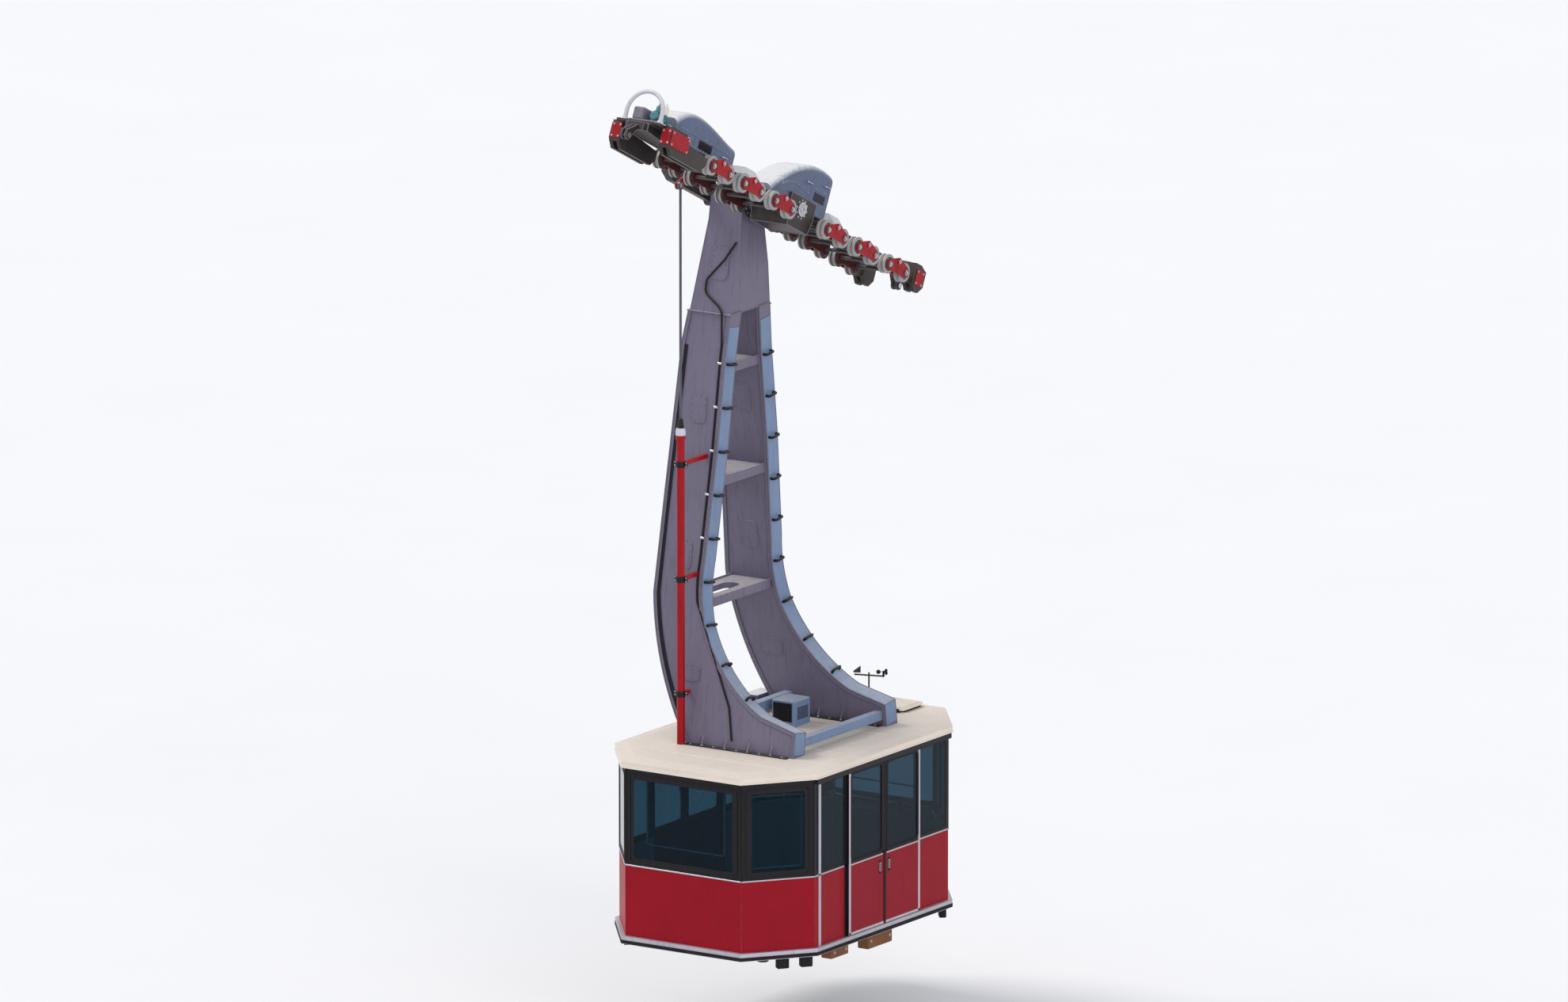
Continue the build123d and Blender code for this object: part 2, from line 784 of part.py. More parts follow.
def wall_plan(index, level):
    """The mitred plan of one wall at a level."""
    following = (index + 1) % count
    with BuildSketch(Plane.XY.offset(level)) as plan:
        with BuildLine():
            Polyline(
                (shell_points[index].X, shell_points[index].Y),
                (shell_points[following].X, shell_points[following].Y),
                (inner_corner(following, wall).X, inner_corner(following, wall).Y),
                (inner_corner(index, wall).X, inner_corner(index, wall).Y),
                close=True,
            )
        make_face()
    return plan.sketch


def shell_plan(level, grow=0.0):
    """The eight-sided plan of the shell at a level, moved outwards by a distance."""
    with BuildSketch(Plane.XY.offset(level)) as plan:
        with BuildLine():
            Polyline(*[(point.X, point.Y) for point in shell_points], close=True)
        make_face()
        if grow:
            offset(amount=grow, kind=Kind.INTERSECTION, mode=Mode.REPLACE)
    return plan.sketch


end_facets = range(0, count, 4)
corner_facets = range(1, count, 2)
side_facets = range(2, count, 4)
window_height = window_band - sill_rail - header_rail
window_mid = belt_z + sill_rail + window_height / 2
side_bay = (side_length - door_opening) / 2
bay_middle = (side_length + door_opening) / 4


def window_outline(index, centre, width, inset=0.0):
    """The rounded outline of a window on a wall's outer face."""
    with BuildSketch(facet_plane(index, window_mid)) as window:
        with Locations((centre, 0)):
            RectangleRounded(width - 2 * inset, window_height - 2 * inset, window_radius - inset)
    return window.sketch


# Floor and bumper rail
with BuildPart() as floor:
    extrude(shell_plan(cabin_bottom), amount=skirt_height)
save(floor, "cabin_floor")

with BuildPart() as bumper:
    extrude(shell_plan(cabin_bottom, trim_overhang), amount=skirt_height)
    extrude(shell_plan(cabin_bottom), amount=skirt_height, mode=Mode.SUBTRACT)
save(bumper, "bumper_rail")

# Lower panels, window frames and windows, by the kind of wall
for kind, facets in (("end", end_facets), ("corner", corner_facets)):
    opening = facet_length(facets[0]) - 2 * (pillar + wall / 2)
    with BuildPart() as lower:
        for index in facets:
            extrude(wall_plan(index, floor_z), amount=panel_height)
    save(lower, f"{kind}_panels")
    with BuildPart() as frames:
        for index in facets:
            extrude(wall_plan(index, belt_z), amount=window_band)
            extrude(window_outline(index, 0, opening), amount=-wall, mode=Mode.SUBTRACT)
    save(frames, f"{kind}_window_frames")
    with BuildPart() as panes:
        for index in facets:
            extrude(window_outline(index, 0, opening, seat_gap), amount=-glass)
    save(panes, f"{kind}_windows")

with BuildPart() as side_lower:
    for index in side_facets:
        extrude(wall_plan(index, floor_z), amount=panel_height)
        with BuildSketch(facet_plane(index, floor_z + panel_height / 2)):
            Rectangle(door_opening, panel_height)
        extrude(amount=-wall, mode=Mode.SUBTRACT)
save(side_lower, "side_panels")

side_window = side_bay - 2 * pillar
with BuildPart() as side_frames:
    for index in side_facets:
        extrude(wall_plan(index, belt_z), amount=window_band)
        with BuildSketch(facet_plane(index, belt_z + window_band / 2)):
            Rectangle(door_opening, window_band)
        extrude(amount=-wall, mode=Mode.SUBTRACT)
        for hand in (-1, 1):
            extrude(
                window_outline(index, hand * bay_middle, side_window), amount=-wall, mode=Mode.SUBTRACT
            )
save(side_frames, "side_window_frames")

with BuildPart() as side_panes:
    for index in side_facets:
        for hand in (-1, 1):
            extrude(window_outline(index, hand * bay_middle, side_window, seat_gap), amount=-glass)
save(side_panes, "side_windows")

# Door tracks and the four sliding leaves outside the side walls
track_depth = trim_overhang
leaf_middle = leaf_wall_gap + leaf_thickness / 2
leaf_width = (door_opening / 2 + leaf_overlap) - leaf_gap / 2
leaf_bottom = floor_z + leaf_clearance
leaf_top = rim_z - track_height - leaf_clearance
leaf_height = leaf_top - leaf_bottom
leaf_centre = leaf_gap / 2 + leaf_width / 2
with BuildPart() as tracks:
    for index in side_facets:
        with BuildSketch(facet_plane(index, rim_z - track_height / 2)):
            Rectangle(side_length, track_height)
        extrude(amount=track_depth)
        with BuildSketch(facet_plane(index, rim_z - header_rail / 2)):
            Rectangle(door_opening, header_rail)
        extrude(amount=-wall)
        with BuildSketch(facet_plane(index, rim_z - track_height + track_slot_depth / 2).offset(leaf_middle)):
            Rectangle(side_length, track_slot_depth)
        extrude(amount=track_slot / 2, both=True, mode=Mode.SUBTRACT)
save(tracks, "door_tracks")

leaf_window_width = leaf_width - 2 * leaf_stile
for hand, index in zip(("right", "left"), side_facets):
    wall_run = facet_plane(index, leaf_bottom).x_dir.X
    for end, travel in (("front", -1), ("rear", 1)):
        middle = travel * wall_run * leaf_centre
        with BuildPart() as leaf:
            with BuildSketch(facet_plane(index, leaf_bottom + leaf_height / 2).offset(leaf_middle)):
                with Locations((middle, 0)):
                    Rectangle(leaf_width, leaf_height)
            extrude(amount=leaf_thickness / 2, both=True)
            with BuildSketch(facet_plane(index, leaf_top + track_slot_depth / 2).offset(leaf_middle)):
                with Locations((middle, 0)):
                    Rectangle(leaf_width, track_slot_depth)
            extrude(amount=track_slot / 2 - tongue_gap, both=True)
            with BuildSketch(facet_plane(index, window_mid).offset(leaf_middle)):
                with Locations((middle, 0)):
                    RectangleRounded(leaf_window_width, window_height, window_radius)
            extrude(amount=leaf_thickness, both=True, mode=Mode.SUBTRACT)
        save(leaf, f"door_{hand}_{end}")
        pane_width = leaf_window_width - 2 * seat_gap
        pane_height = window_height - 2 * seat_gap
        with BuildPart() as leaf_pane:
            with BuildSketch(facet_plane(index, window_mid).offset(leaf_middle + leaf_thickness / 4)):
                with Locations((middle, 0)):
                    RectangleRounded(pane_width, pane_height, window_radius - seat_gap)
            extrude(amount=glass / 2, both=True)
        save(leaf_pane, f"door_window_{hand}_{end}")

# Grab poles from floor to roof, and the attendant's desk at the lower end
with BuildPart() as poles:
    with BuildSketch(Plane.XY.offset(floor_z)):
        with Locations(*[(hang_x + place, 0) for place in pole_places]):
            Circle(pole_radius)
    extrude(amount=rim_z - floor_z)
save(poles, "grab_poles")

with BuildPart() as desk:
    with BuildSketch(Plane.XY.offset(floor_z)):
        with Locations((hang_x + half_length - wall - desk_depth / 2, 0)):
            Rectangle(desk_depth, desk_width)
    extrude(amount=desk_height)
save(desk, "attendant_desk")

# Locker on the roof between the hanger's feet
with BuildPart() as locker:
    with BuildSketch(Plane.XY.offset(roof_top + seat_gap)):
        with Locations((hang_x + locker_x, locker_y)):
            RectangleRounded(locker_length, locker_width, locker_round)
    extrude(amount=locker_height)
    fillet(locker.faces().sort_by(Axis.Z)[-1].edges(), radius=locker_round / 2)
save(locker, "roof_locker")

# Underframe: two runners and the cross members that join them
with BuildPart() as underframe:
    with BuildSketch(Plane.XY.offset(cabin_bottom)):
        with Locations((hang_x, -runner_gauge / 2), (hang_x, runner_gauge / 2)):
            Rectangle(runner_length, runner_width)
        with Locations(*[(hang_x + place, 0) for place in cross_places]):
            Rectangle(runner_width, runner_gauge)
    extrude(amount=-runner_depth)
    buffer_grid = [
        (hang_x + place, side * runner_gauge / 2) for place in buffer_places for side in (-1, 1)
    ]
    with BuildSketch(Plane.XY.offset(cabin_bottom - runner_depth)):
        with Locations(*buffer_grid):
            Circle(buffer_radius)
    extrude(amount=-buffer_depth, taper=8)
save(underframe, "underframe")

# Roof: a rimmed slab with a low crown
roof_eave = rim_z + roof_rim
with BuildPart() as roof:
    extrude(shell_plan(rim_z, trim_overhang), amount=roof_rim)
    loft(
        [
            shell_plan(roof_eave, trim_overhang).face(),
            shell_plan(roof_eave + roof_crown, trim_overhang - roof_plateau).face(),
        ]
    )
save(roof, "roof")
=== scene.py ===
# %% [markdown]
# # A large cable car: carriage, hanger and cabin
# The engineering model gives every part at its real size, in metres, and this lesson dresses it.
# It is loaded first and never moved, so that each new piece can take its place from a part's box.

# %% Load the frame
import math

import bmesh
import bpy
from mathutils import Matrix, Vector


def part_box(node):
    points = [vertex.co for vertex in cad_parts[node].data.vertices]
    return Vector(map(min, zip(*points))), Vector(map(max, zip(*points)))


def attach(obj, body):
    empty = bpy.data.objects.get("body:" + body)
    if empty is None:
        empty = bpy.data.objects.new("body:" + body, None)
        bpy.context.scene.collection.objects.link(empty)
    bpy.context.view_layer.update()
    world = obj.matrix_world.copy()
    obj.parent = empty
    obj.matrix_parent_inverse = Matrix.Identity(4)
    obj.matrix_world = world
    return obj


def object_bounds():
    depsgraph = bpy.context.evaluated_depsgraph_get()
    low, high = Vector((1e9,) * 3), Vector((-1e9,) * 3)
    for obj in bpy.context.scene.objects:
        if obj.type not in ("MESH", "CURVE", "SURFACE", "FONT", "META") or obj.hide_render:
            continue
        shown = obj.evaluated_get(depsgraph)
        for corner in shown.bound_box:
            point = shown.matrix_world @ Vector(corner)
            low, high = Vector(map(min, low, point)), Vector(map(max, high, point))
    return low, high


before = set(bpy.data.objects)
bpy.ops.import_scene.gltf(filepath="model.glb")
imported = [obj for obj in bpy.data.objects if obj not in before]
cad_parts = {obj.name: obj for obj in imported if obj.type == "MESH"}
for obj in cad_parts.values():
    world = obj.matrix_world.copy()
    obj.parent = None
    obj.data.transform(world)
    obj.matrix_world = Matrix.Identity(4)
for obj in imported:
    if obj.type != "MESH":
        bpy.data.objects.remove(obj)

cad_low, cad_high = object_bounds()
print("engineering model from", tuple(cad_low), "to", tuple(cad_high))

# %% [markdown]
# ## Places that many pieces share
# A place is a point with three directions, and a matrix holds both. Most fittings come in pairs, rows
# or rectangles, so three short helpers give those.

# %% Directions, places and rows
carriage = "carriage"
cabin = "hanger_and_cabin"
pair = (-1, 1)
ahead = Vector((1.0, 0.0, 0.0))
across = Vector((0.0, 1.0, 0.0))
plumb = Vector((0.0, 0.0, 1.0))
here = Matrix.Identity(4)


def centre(node):
    """The middle of a part's box."""
    low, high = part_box(node)
    return (low + high) / 2


def placed(point, x, y, z):
    """A place at a point, with the directions of its X, Y and Z."""
    return Matrix.Translation(point) @ Matrix((x, y, z)).transposed().to_4x4()


def at(x, y, z):
    """A place with the plain axes."""
    return Matrix.Translation((x, y, z))


def evenly(first, last, count):
    """Numbers at equal steps from the first to the last."""
    return [first + (last - first) * step / (count - 1) for step in range(count)]


def rectangle(reach_a, reach_b):
    """The four corners of a rectangle round the origin."""
    return [(a * reach_a, b * reach_b) for a in pair for b in pair]


print("a row of three:", evenly(0.0, 1.0, 3))

# %% [markdown]
# The carriage stands on a slope, so its pieces are placed along it (u), across it (y) and upright from
# it (w). The directions are read from the first and the last wheelset. The hanger and the cabin hang
# plumb, so their pieces use the plain axes.

# %% Directions of the sloping carriage
wheel_centres = [centre(f"wheelset_{number:02d}") for number in range(1, 13)]
along = (wheel_centres[-1] - wheel_centres[0]).normalized()
upright = along.cross(across)
roller_y = 0.4


def on_deck(u, y, w):
    """A point given along the slope, across it and upright from it."""
    return along * u + across * y + upright * w


def deck_place(u, y, w):
    """A place on the carriage: local X runs along the slope, Y across and Z upright."""
    return placed(on_deck(u, y, w), along, across, upright)


print("slope in degrees:", round(math.degrees(math.atan2(-along.z, along.x)), 2))

# %% [markdown]
# The cabin's plan has eight corners. A piece on a wall is placed along that wall, at a level and by
# how far it stands out, so that one line of code dresses all the walls of a kind.

# %% Levels and walls of the cabin
floor_low, floor_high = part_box("cabin_floor")
roof_low, roof_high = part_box("roof")
panel_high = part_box("end_panels")[1]
side_low, side_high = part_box("side_panels")
hang_x = (floor_low.x + floor_high.x) / 2
half_length = (floor_high.x - floor_low.x) / 2
half_width = floor_high.y
half_end = panel_high.y
half_side = (side_high.x - side_low.x) / 2
cabin_bottom = floor_low.z
floor_z = floor_high.z
belt_z = panel_high.z
rim_z = roof_low.z
roof_top = roof_high.z
wall = 0.045
half_plan = [
    (-half_length, half_end), (-half_length, -half_end), (-half_side, -half_width), (half_side, -half_width)
]
corners = [Vector((hang_x + sign * x, sign * y, 0.0)) for sign in (1, -1) for x, y in half_plan]
side_walls = (2, 6)
end_walls = (0, 4)
corner_walls = (1, 3, 5, 7)
fixed_walls = end_walls + corner_walls


def wall_run(index):
    """The start of a wall, its direction and its length, seen from above."""
    start = corners[index]
    step = corners[(index + 1) % len(corners)] - start
    return start, step.normalized(), step.length


def wall_normal(index):
    """The outward direction of a wall."""
    run = wall_run(index)[1]
    return Vector((run.y, -run.x, 0.0))


def wall_place(index, shift, level, out):
    """A place on a wall: X along the wall from its middle, Y up, Z outwards."""
    start, run, length = wall_run(index)
    point = start + run * (length / 2 + shift) + wall_normal(index) * out
    point.z = level
    return placed(point, run, plumb, wall_normal(index))


print("cabin from", round(cabin_bottom, 3), "to", round(roof_top, 3), "hanging at x", round(hang_x, 3))

# %% [markdown]
# ## A short way to wire nodes
# Shader trees and geometry trees are wired alike: make a node, set its options, then give each input
# a value or a link. One helper does both, so that each tree below reads as a list of its nodes.

# %% Node helper
def wire(tree, kind, inputs=None, **options):
    """Adds a node, sets its options, and fills its inputs with values or links."""
    node = tree.nodes.new(kind)
    for key, value in options.items():
        setattr(node, key, value)
    for key, value in (inputs or {}).items():
        if isinstance(value, bpy.types.NodeSocket):
            tree.links.new(value, node.inputs[key])
        else:
            node.inputs[key].default_value = value
    return node


def socket_type(value):
    """The type of socket that a default value needs, or that a word names."""
    if isinstance(value, str):
        return "NodeSocket" + value
    if isinstance(value, tuple):
        return "NodeSocketVector" if len(value) == 3 else "NodeSocketColor"
    return "NodeSocketInt" if isinstance(value, int) else "NodeSocketFloat"


def start_group(name, kind, takes, gives):
    """Starts a node group from its inputs (name: default value or type) and outputs (name: type)."""
    tree = bpy.data.node_groups.new(name, kind)
    for label, value in takes.items():
        socket = tree.interface.new_socket(label, in_out="INPUT", socket_type=socket_type(value))
        if not isinstance(value, str):
            socket.default_value = value
    for label, value in gives.items():
        tree.interface.new_socket(label, in_out="OUTPUT", socket_type=socket_type(value))
    return tree, tree.nodes.new("NodeGroupInput").outputs


def linear(red, green, blue):
    """A colour written as 0 to 255 display values, in Blender's linear values."""
    def channel(value):
        part = value / 255
        return part / 12.92 if part <= 0.04045 else ((part + 0.055) / 1.055) ** 2.4

    return (channel(red), channel(green), channel(blue), 1.0)


print("a mid grey in linear values:", tuple(round(part, 3) for part in linear(128, 128, 128)))

# %% [markdown]
# Five kinds of node make up most of the finishes: arithmetic, a noise, a ramp that cuts a mask out of
# a value, a mix of two colours and a vector that is multiplied. Each gets a helper that hands back the
# socket to go on from.

# %% Shader steps
def arithmetic(tree, operation, first, second, **options):
    """One step of arithmetic with two numbers."""
    return wire(tree, "ShaderNodeMath", {0: first, 1: second}, operation=operation, **options).outputs[0]


def noise(tree, vector, scale, detail, roughness=0.5):
    """A cloudy pattern of values from 0 to 1."""
    inputs = {"Vector": vector, "Scale": scale, "Detail": detail, "Roughness": roughness}
    return wire(tree, "ShaderNodeTexNoise", inputs).outputs["Fac"]


def ramp(tree, value, low, high, start=0.0, stop=1.0):
    """Moves a value from the range low to high into the range start to stop, and holds it there."""
    inputs = {"Value": value, "From Min": low, "From Max": high, "To Min": start, "To Max": stop}
    return wire(tree, "ShaderNodeMapRange", inputs).outputs["Result"]


def mixed(tree, factor, first, second):
    """The first colour, and the second where the factor is 1."""
    return wire(tree, "ShaderNodeMix", {"Factor": factor, 6: first, 7: second}, data_type="RGBA").outputs[2]


def stretched(tree, vector, stretch):
    """A vector with each of its parts multiplied."""
    return wire(tree, "ShaderNodeVectorMath", {0: vector, 1: stretch}, operation="MULTIPLY").outputs["Vector"]


def surface_normal(tree):
    """The direction that the surface looks in."""
    return wire(tree, "ShaderNodeNewGeometry").outputs["Normal"]


def object_point(tree):
    """The point on the piece, in metres from the frame's origin."""
    return wire(tree, "ShaderNodeTexCoord").outputs["Object"]


def part_of(tree, vector, axis):
    """One part of a vector."""
    return wire(tree, "ShaderNodeSeparateXYZ", {"Vector": vector}).outputs[axis]


print("shader steps:", [step.__name__ for step in (arithmetic, noise, ramp, mixed, stretched)])

# %% [markdown]
# ## Effects that several finishes share
# Outdoor paint is never one colour: it fades in patches, rain draws streaks down upright faces and
# dust settles on level ones. Painting that by hand would need image maps, so a group mixes it from
# noise: a patch pattern, a pattern stretched along Z, and a mask of the faces that look up. There the
# top colour is settled dust, and where a finish makes it pale and strong it is a painted highlight.

# %% Weathered colour group
def make_weathering():
    """Mixes fading, rain streaks and a top colour on level faces into a paint colour. The top colour is
    settled dust, and a painted highlight where it is pale and strong.
    """
    takes = {
        "Vector": "Vector", "Colour": (0.5, 0.5, 0.5, 1.0), "Dirt": (0.05, 0.04, 0.03, 1.0),
        "Dust colour": (0.3, 0.28, 0.25, 1.0), "Patch scale": 1.5, "Fade": 0.2, "Streaks": 0.2, "Dust": 0.2,
    }
    gives = {"Colour": "Color", "Dirt mask": "Float"}
    tree, given = start_group("weathered_colour", "ShaderNodeTree", takes, gives)
    vector = given["Vector"]
    patches = ramp(tree, noise(tree, vector, given["Patch scale"], 6.0, 0.62), 0.3, 0.7, -0.5, 0.5)
    fading = arithmetic(tree, "ADD", arithmetic(tree, "MULTIPLY", patches, given["Fade"]), 1.0)
    faded = wire(tree, "ShaderNodeHueSaturation", {"Value": fading, "Color": given["Colour"], "Fac": 1.0})
    rain = wire(tree, "ShaderNodeMapping", {"Vector": vector, "Scale": (9.0, 9.0, 0.7)}).outputs["Vector"]
    streaks = ramp(tree, noise(tree, rain, 2.2, 4.0, 0.55), 0.52, 0.72)
    streaks = arithmetic(tree, "MULTIPLY", streaks, given["Streaks"])
    # Faces that look up take the top colour: settled dust, and a painted highlight where a finish gives a
    # pale colour in a large amount.
    dust = ramp(tree, part_of(tree, surface_normal(tree), "Z"), 0.35, 0.95)
    dust = arithmetic(tree, "MULTIPLY", dust, given["Dust"])
    dust = arithmetic(tree, "MULTIPLY", dust, noise(tree, vector, 14.0, 8.0, 0.7), use_clamp=True)
    streaky = mixed(tree, streaks, faded.outputs["Color"], given["Dirt"])
    colour = mixed(tree, dust, streaky, given["Dust colour"])
    wire(tree, "NodeGroupOutput", {"Colour": colour, "Dirt mask": arithmetic(tree, "MAXIMUM", streaks, dust)})
    return tree


weathering = make_weathering()
print("weathered_colour has", len(weathering.nodes), "nodes")

# %% [markdown]
# Paint wears through first where edges are knocked. The Bevel node gives the normal that a rounded
# edge would have, and where that differs from the true normal there is an edge. Noise breaks the
# line up, because real wear is never even.

# %% Edge wear group
def make_edge_wear():
    """A mask of the edges within a radius, broken up by noise."""
    takes = {"Vector": "Vector", "Radius": 0.01, "Break up": 20.0, "Amount": 1.0}
    tree, given = start_group("edge_wear", "ShaderNodeTree", takes, {"Mask": "Float"})
    rounded = wire(tree, "ShaderNodeBevel", {"Radius": given["Radius"]}, samples=4).outputs["Normal"]
    normals = {0: rounded, 1: surface_normal(tree)}
    likeness = wire(tree, "ShaderNodeVectorMath", normals, operation="DOT_PRODUCT").outputs["Value"]
    broken = ramp(tree, noise(tree, given["Vector"], given["Break up"], 5.0, 0.65), 0.45, 0.62)
    edge = arithmetic(tree, "MULTIPLY", ramp(tree, likeness, 0.99, 0.86), broken)
    wire(tree, "NodeGroupOutput", {"Mask": arithmetic(tree, "MULTIPLY", edge, given["Amount"])})
    return tree


edge_wear = make_edge_wear()
print("edge_wear has", len(edge_wear.nodes), "nodes")

# %% [markdown]
# Up close every surface has a fine relief: orange peel in thick paint, drawn lines in metal, grains
# in rubber and board. One group gives that height from stretched noise, so that a finish only says
# how fine it is and in which direction it is drawn.

# %% Fine relief group
def make_relief():
    """A small height pattern: noise at a scale, stretched by a vector, with a coarser swell under it."""
    takes = {"Vector": "Vector", "Scale": 200.0, "Stretch": (1.0, 1.0, 1.0), "Swell": 0.3}
    tree, given = start_group("fine_relief", "ShaderNodeTree", takes, {"Height": "Float"})
    fine = noise(tree, stretched(tree, given["Vector"], given["Stretch"]), given["Scale"], 3.0)
    swell = arithmetic(tree, "MULTIPLY", noise(tree, given["Vector"], 5.0, 2.0), given["Swell"])
    wire(tree, "NodeGroupOutput", {"Height": arithmetic(tree, "ADD", fine, swell)})
    return tree


relief = make_relief()
print("fine_relief has", len(relief.nodes), "nodes")

# %% [markdown]
# ## The finishes
# Every paint and metal here is the same recipe with other numbers: a weathered colour, bare metal or
# primer at the worn edges, and a fine relief. What is the same all over a surface, such as the clear
# coat, is set straight on the shader, because a value that arrives through a link can get lost when
# the model is exported. A finish is known by its name.

# %% The recipe
finishes = {}
worn_edge = 0.008
dirt_roughness = 0.85


def start_material(name):
    """An empty material and its tree."""
    material = bpy.data.materials.new(name)
    material.use_nodes = True
    material.node_tree.nodes.clear()
    return material, material.node_tree


# The top colour and its amount give settled dust, and a painted highlight where they are pale and large.
def add_finish(
    name, label, colour, dirt, under, slot=None, patch=1.5, fade=0.2, streaks=0.15, dust=0.2,
    dust_and_highlight_colour=(150, 142, 132), wear=0.6, roughness=0.5, metallic=0.0, coat=0.0, grain=220.0,
    stretch=(1.0, 1.0, 1.0), swell=0.3, bump=0.05, specular=0.5,
):
    """A weathered, worn and finely bumped material. Colours are display values from 0 to 255."""
    material, tree = start_material(label)
    vector = object_point(tree)

    def effect(group, **inputs):
        """Places an effect's group. An input's name has _ where the group has a space."""
        inputs = {key.replace("_", " "): value for key, value in inputs.items()}
        return wire(tree, "ShaderNodeGroup", {"Vector": vector, **inputs}, node_tree=group).outputs

    weathered = effect(
        weathering, Colour=linear(*colour), Dirt=linear(*dirt), Dust_colour=linear(*dust_and_highlight_colour),
        Patch_scale=patch, Fade=fade, Streaks=streaks, Dust=dust,
    )
    worn = effect(edge_wear, Radius=worn_edge, Break_up=22.0, Amount=wear)
    height = effect(relief, Scale=grain, Stretch=stretch, Swell=swell)["Height"]
    bumped = wire(tree, "ShaderNodeBump", {"Height": height, "Strength": bump, "Distance": 0.002})
    shader = wire(
        tree, "ShaderNodeBsdfPrincipled",
        {
            "Base Color": mixed(tree, worn["Mask"], weathered["Colour"], linear(*under)),
            "Roughness": ramp(tree, weathered["Dirt mask"], 0.0, 1.0, roughness, dirt_roughness),
            "Normal": bumped.outputs["Normal"], "Metallic": metallic, "Specular IOR Level": specular,
            "Coat Weight": coat, "Coat Roughness": 0.12,
        },
    )
    wire(tree, "ShaderNodeOutputMaterial", {"Surface": shader.outputs["BSDF"]})
    finishes[name] = material


print("worn edges are", worn_edge, "metres wide")

# %% Paints
panel_look = {
    "under": (186, 160, 154), "fade": 0.16, "dust": 0.1, "wear": 0.3, "roughness": 0.45, "coat": 0.04,
    "bump": 0.04, "specular": 0.12,
}
add_finish("red_panel", "red_panel_paint", (150, 10, 30), (84, 14, 20), streaks=0.14, **panel_look)
add_finish("door_leaf", "door_leaf_paint", (146, 10, 34), (84, 14, 22), streaks=0.16, **panel_look)
add_finish(
    "red_steel", "red_machine_enamel", (158, 10, 26), (52, 20, 18), (104, 84, 80), fade=0.3, streaks=0.35,
    dust=0.3, wear=0.7, roughness=0.42, coat=0.05, bump=0.12, specular=0.18,
)
# The hanger grey is a darker mauve than the paint's real light grey, which paints shade into it; its pale top
# colour, in a large amount, paints a highlight on the level faces.
add_finish(
    "grey_paint", "hanger_grey_paint", (114, 108, 128), (70, 62, 64), (88, 72, 64), patch=0.9, fade=0.18,
    streaks=0.26, dust_and_highlight_colour=(196, 190, 190), dust=1.2, wear=0.5, coat=0.05, bump=0.1, specular=0.3,
)
add_finish(
    "cream_roof", "cream_roof_paint", (236, 225, 212), (150, 136, 120), (172, 160, 150), patch=1.1, fade=0.12,
    streaks=0.0, dust=0.34, wear=0.3, roughness=0.55, bump=0.12, swell=1.2,
)
add_finish(
    "black_frame", "black_frame_coat", (22, 20, 27), (62, 58, 58), (80, 78, 82), fade=0.3, streaks=0.12,
    dust=0.3, wear=0.3, roughness=0.4, specular=0.2,
)
# The hood paint's pale top colour, in a large amount, paints a highlight along the crests of the hoods.
add_finish(
    "silver_cover", "silver_cover_paint", (84, 97, 126), (66, 66, 76), (164, 164, 168), patch=1.3, fade=0.16,
    dust_and_highlight_colour=(226, 226, 228), streaks=0.24, dust=2.2, wear=0.4, roughness=0.4, metallic=0.1, coat=0.1,
    specular=0.35,
)
add_finish(
    "light_cover", "light_cover_paint", (202, 204, 210), (92, 88, 92), (150, 150, 154), "silver_cover",
    patch=2.0, fade=0.12, streaks=0.2, dust_and_highlight_colour=(228, 226, 224), dust=0.8, wear=0.4, roughness=0.4, coat=0.1,
)
# The sky blue is painted skylight: the blue of the sky's light on faces that look up and aside. It covers the
# inner flange strips, the roof locker and the foot bars.
add_finish(
    "painted_skylight", "painted_skylight_blue", (116, 138, 172), (74, 70, 78), (96, 84, 78), "grey_paint", patch=1.4,
    fade=0.16, streaks=0.2, dust_and_highlight_colour=(206, 206, 210), dust=0.9, roughness=0.45, coat=0.08, bump=0.08,
    specular=0.35,
)
add_finish(
    "teal_enamel", "teal_enamel", (58, 122, 134), (52, 50, 48), (150, 156, 158), "grey_paint", streaks=0.3,
    dust=0.3, roughness=0.36, coat=0.4,
)
add_finish(
    "roller_base", "roller_paint", (176, 172, 174), (70, 58, 50), (170, 168, 168), patch=6.0, streaks=0.3,
    dust_and_highlight_colour=(220, 216, 212), dust=1.0, wear=0.5, roughness=0.45, metallic=0.1, bump=0.1, specular=0.35,
)
print("paints:", len(finishes))

# %% Metals, rubber, board and wood
drawn_along = (0.05, 1.0, 1.0)
drawn_up = (1.0, 1.0, 0.04)
add_finish(
    "dark_steel", "greased_dark_steel", (50, 44, 43), (96, 74, 58), (120, 112, 106), patch=3.0, fade=0.4,
    streaks=0.4, dust=0.45, wear=0.7, roughness=0.46, metallic=0.35, bump=0.25,
)
add_finish(
    "bright_steel", "bare_bright_steel", (186, 186, 192), (104, 94, 84), (214, 214, 218), fade=0.15,
    streaks=0.2, wear=0.4, roughness=0.28, metallic=0.9, grain=160.0, stretch=drawn_along, bump=0.12,
)
add_finish(
    "oiled_rod", "oiled_rod_steel", (88, 90, 98), (60, 54, 50), (130, 130, 134), "bright_steel", fade=0.1,
    streaks=0.2, dust=0.0, wear=0.2, roughness=0.3, metallic=0.5, grain=160.0, stretch=drawn_up, specular=0.3,
)
add_finish(
    "aluminium_trim", "brushed_aluminium_trim", (184, 180, 190), (110, 102, 98), (206, 204, 208), fade=0.12,
    streaks=0.2, dust=0.22, wear=0.3, roughness=0.36, metallic=0.55, grain=140.0, stretch=drawn_up, bump=0.1,
)
add_finish(
    "weld_metal", "painted_weld", (116, 112, 128), (70, 60, 60), (92, 76, 68), "grey_paint", patch=30.0,
    fade=0.5, streaks=0.1, dust=0.3, wear=0.4, grain=900.0, bump=0.8,
)
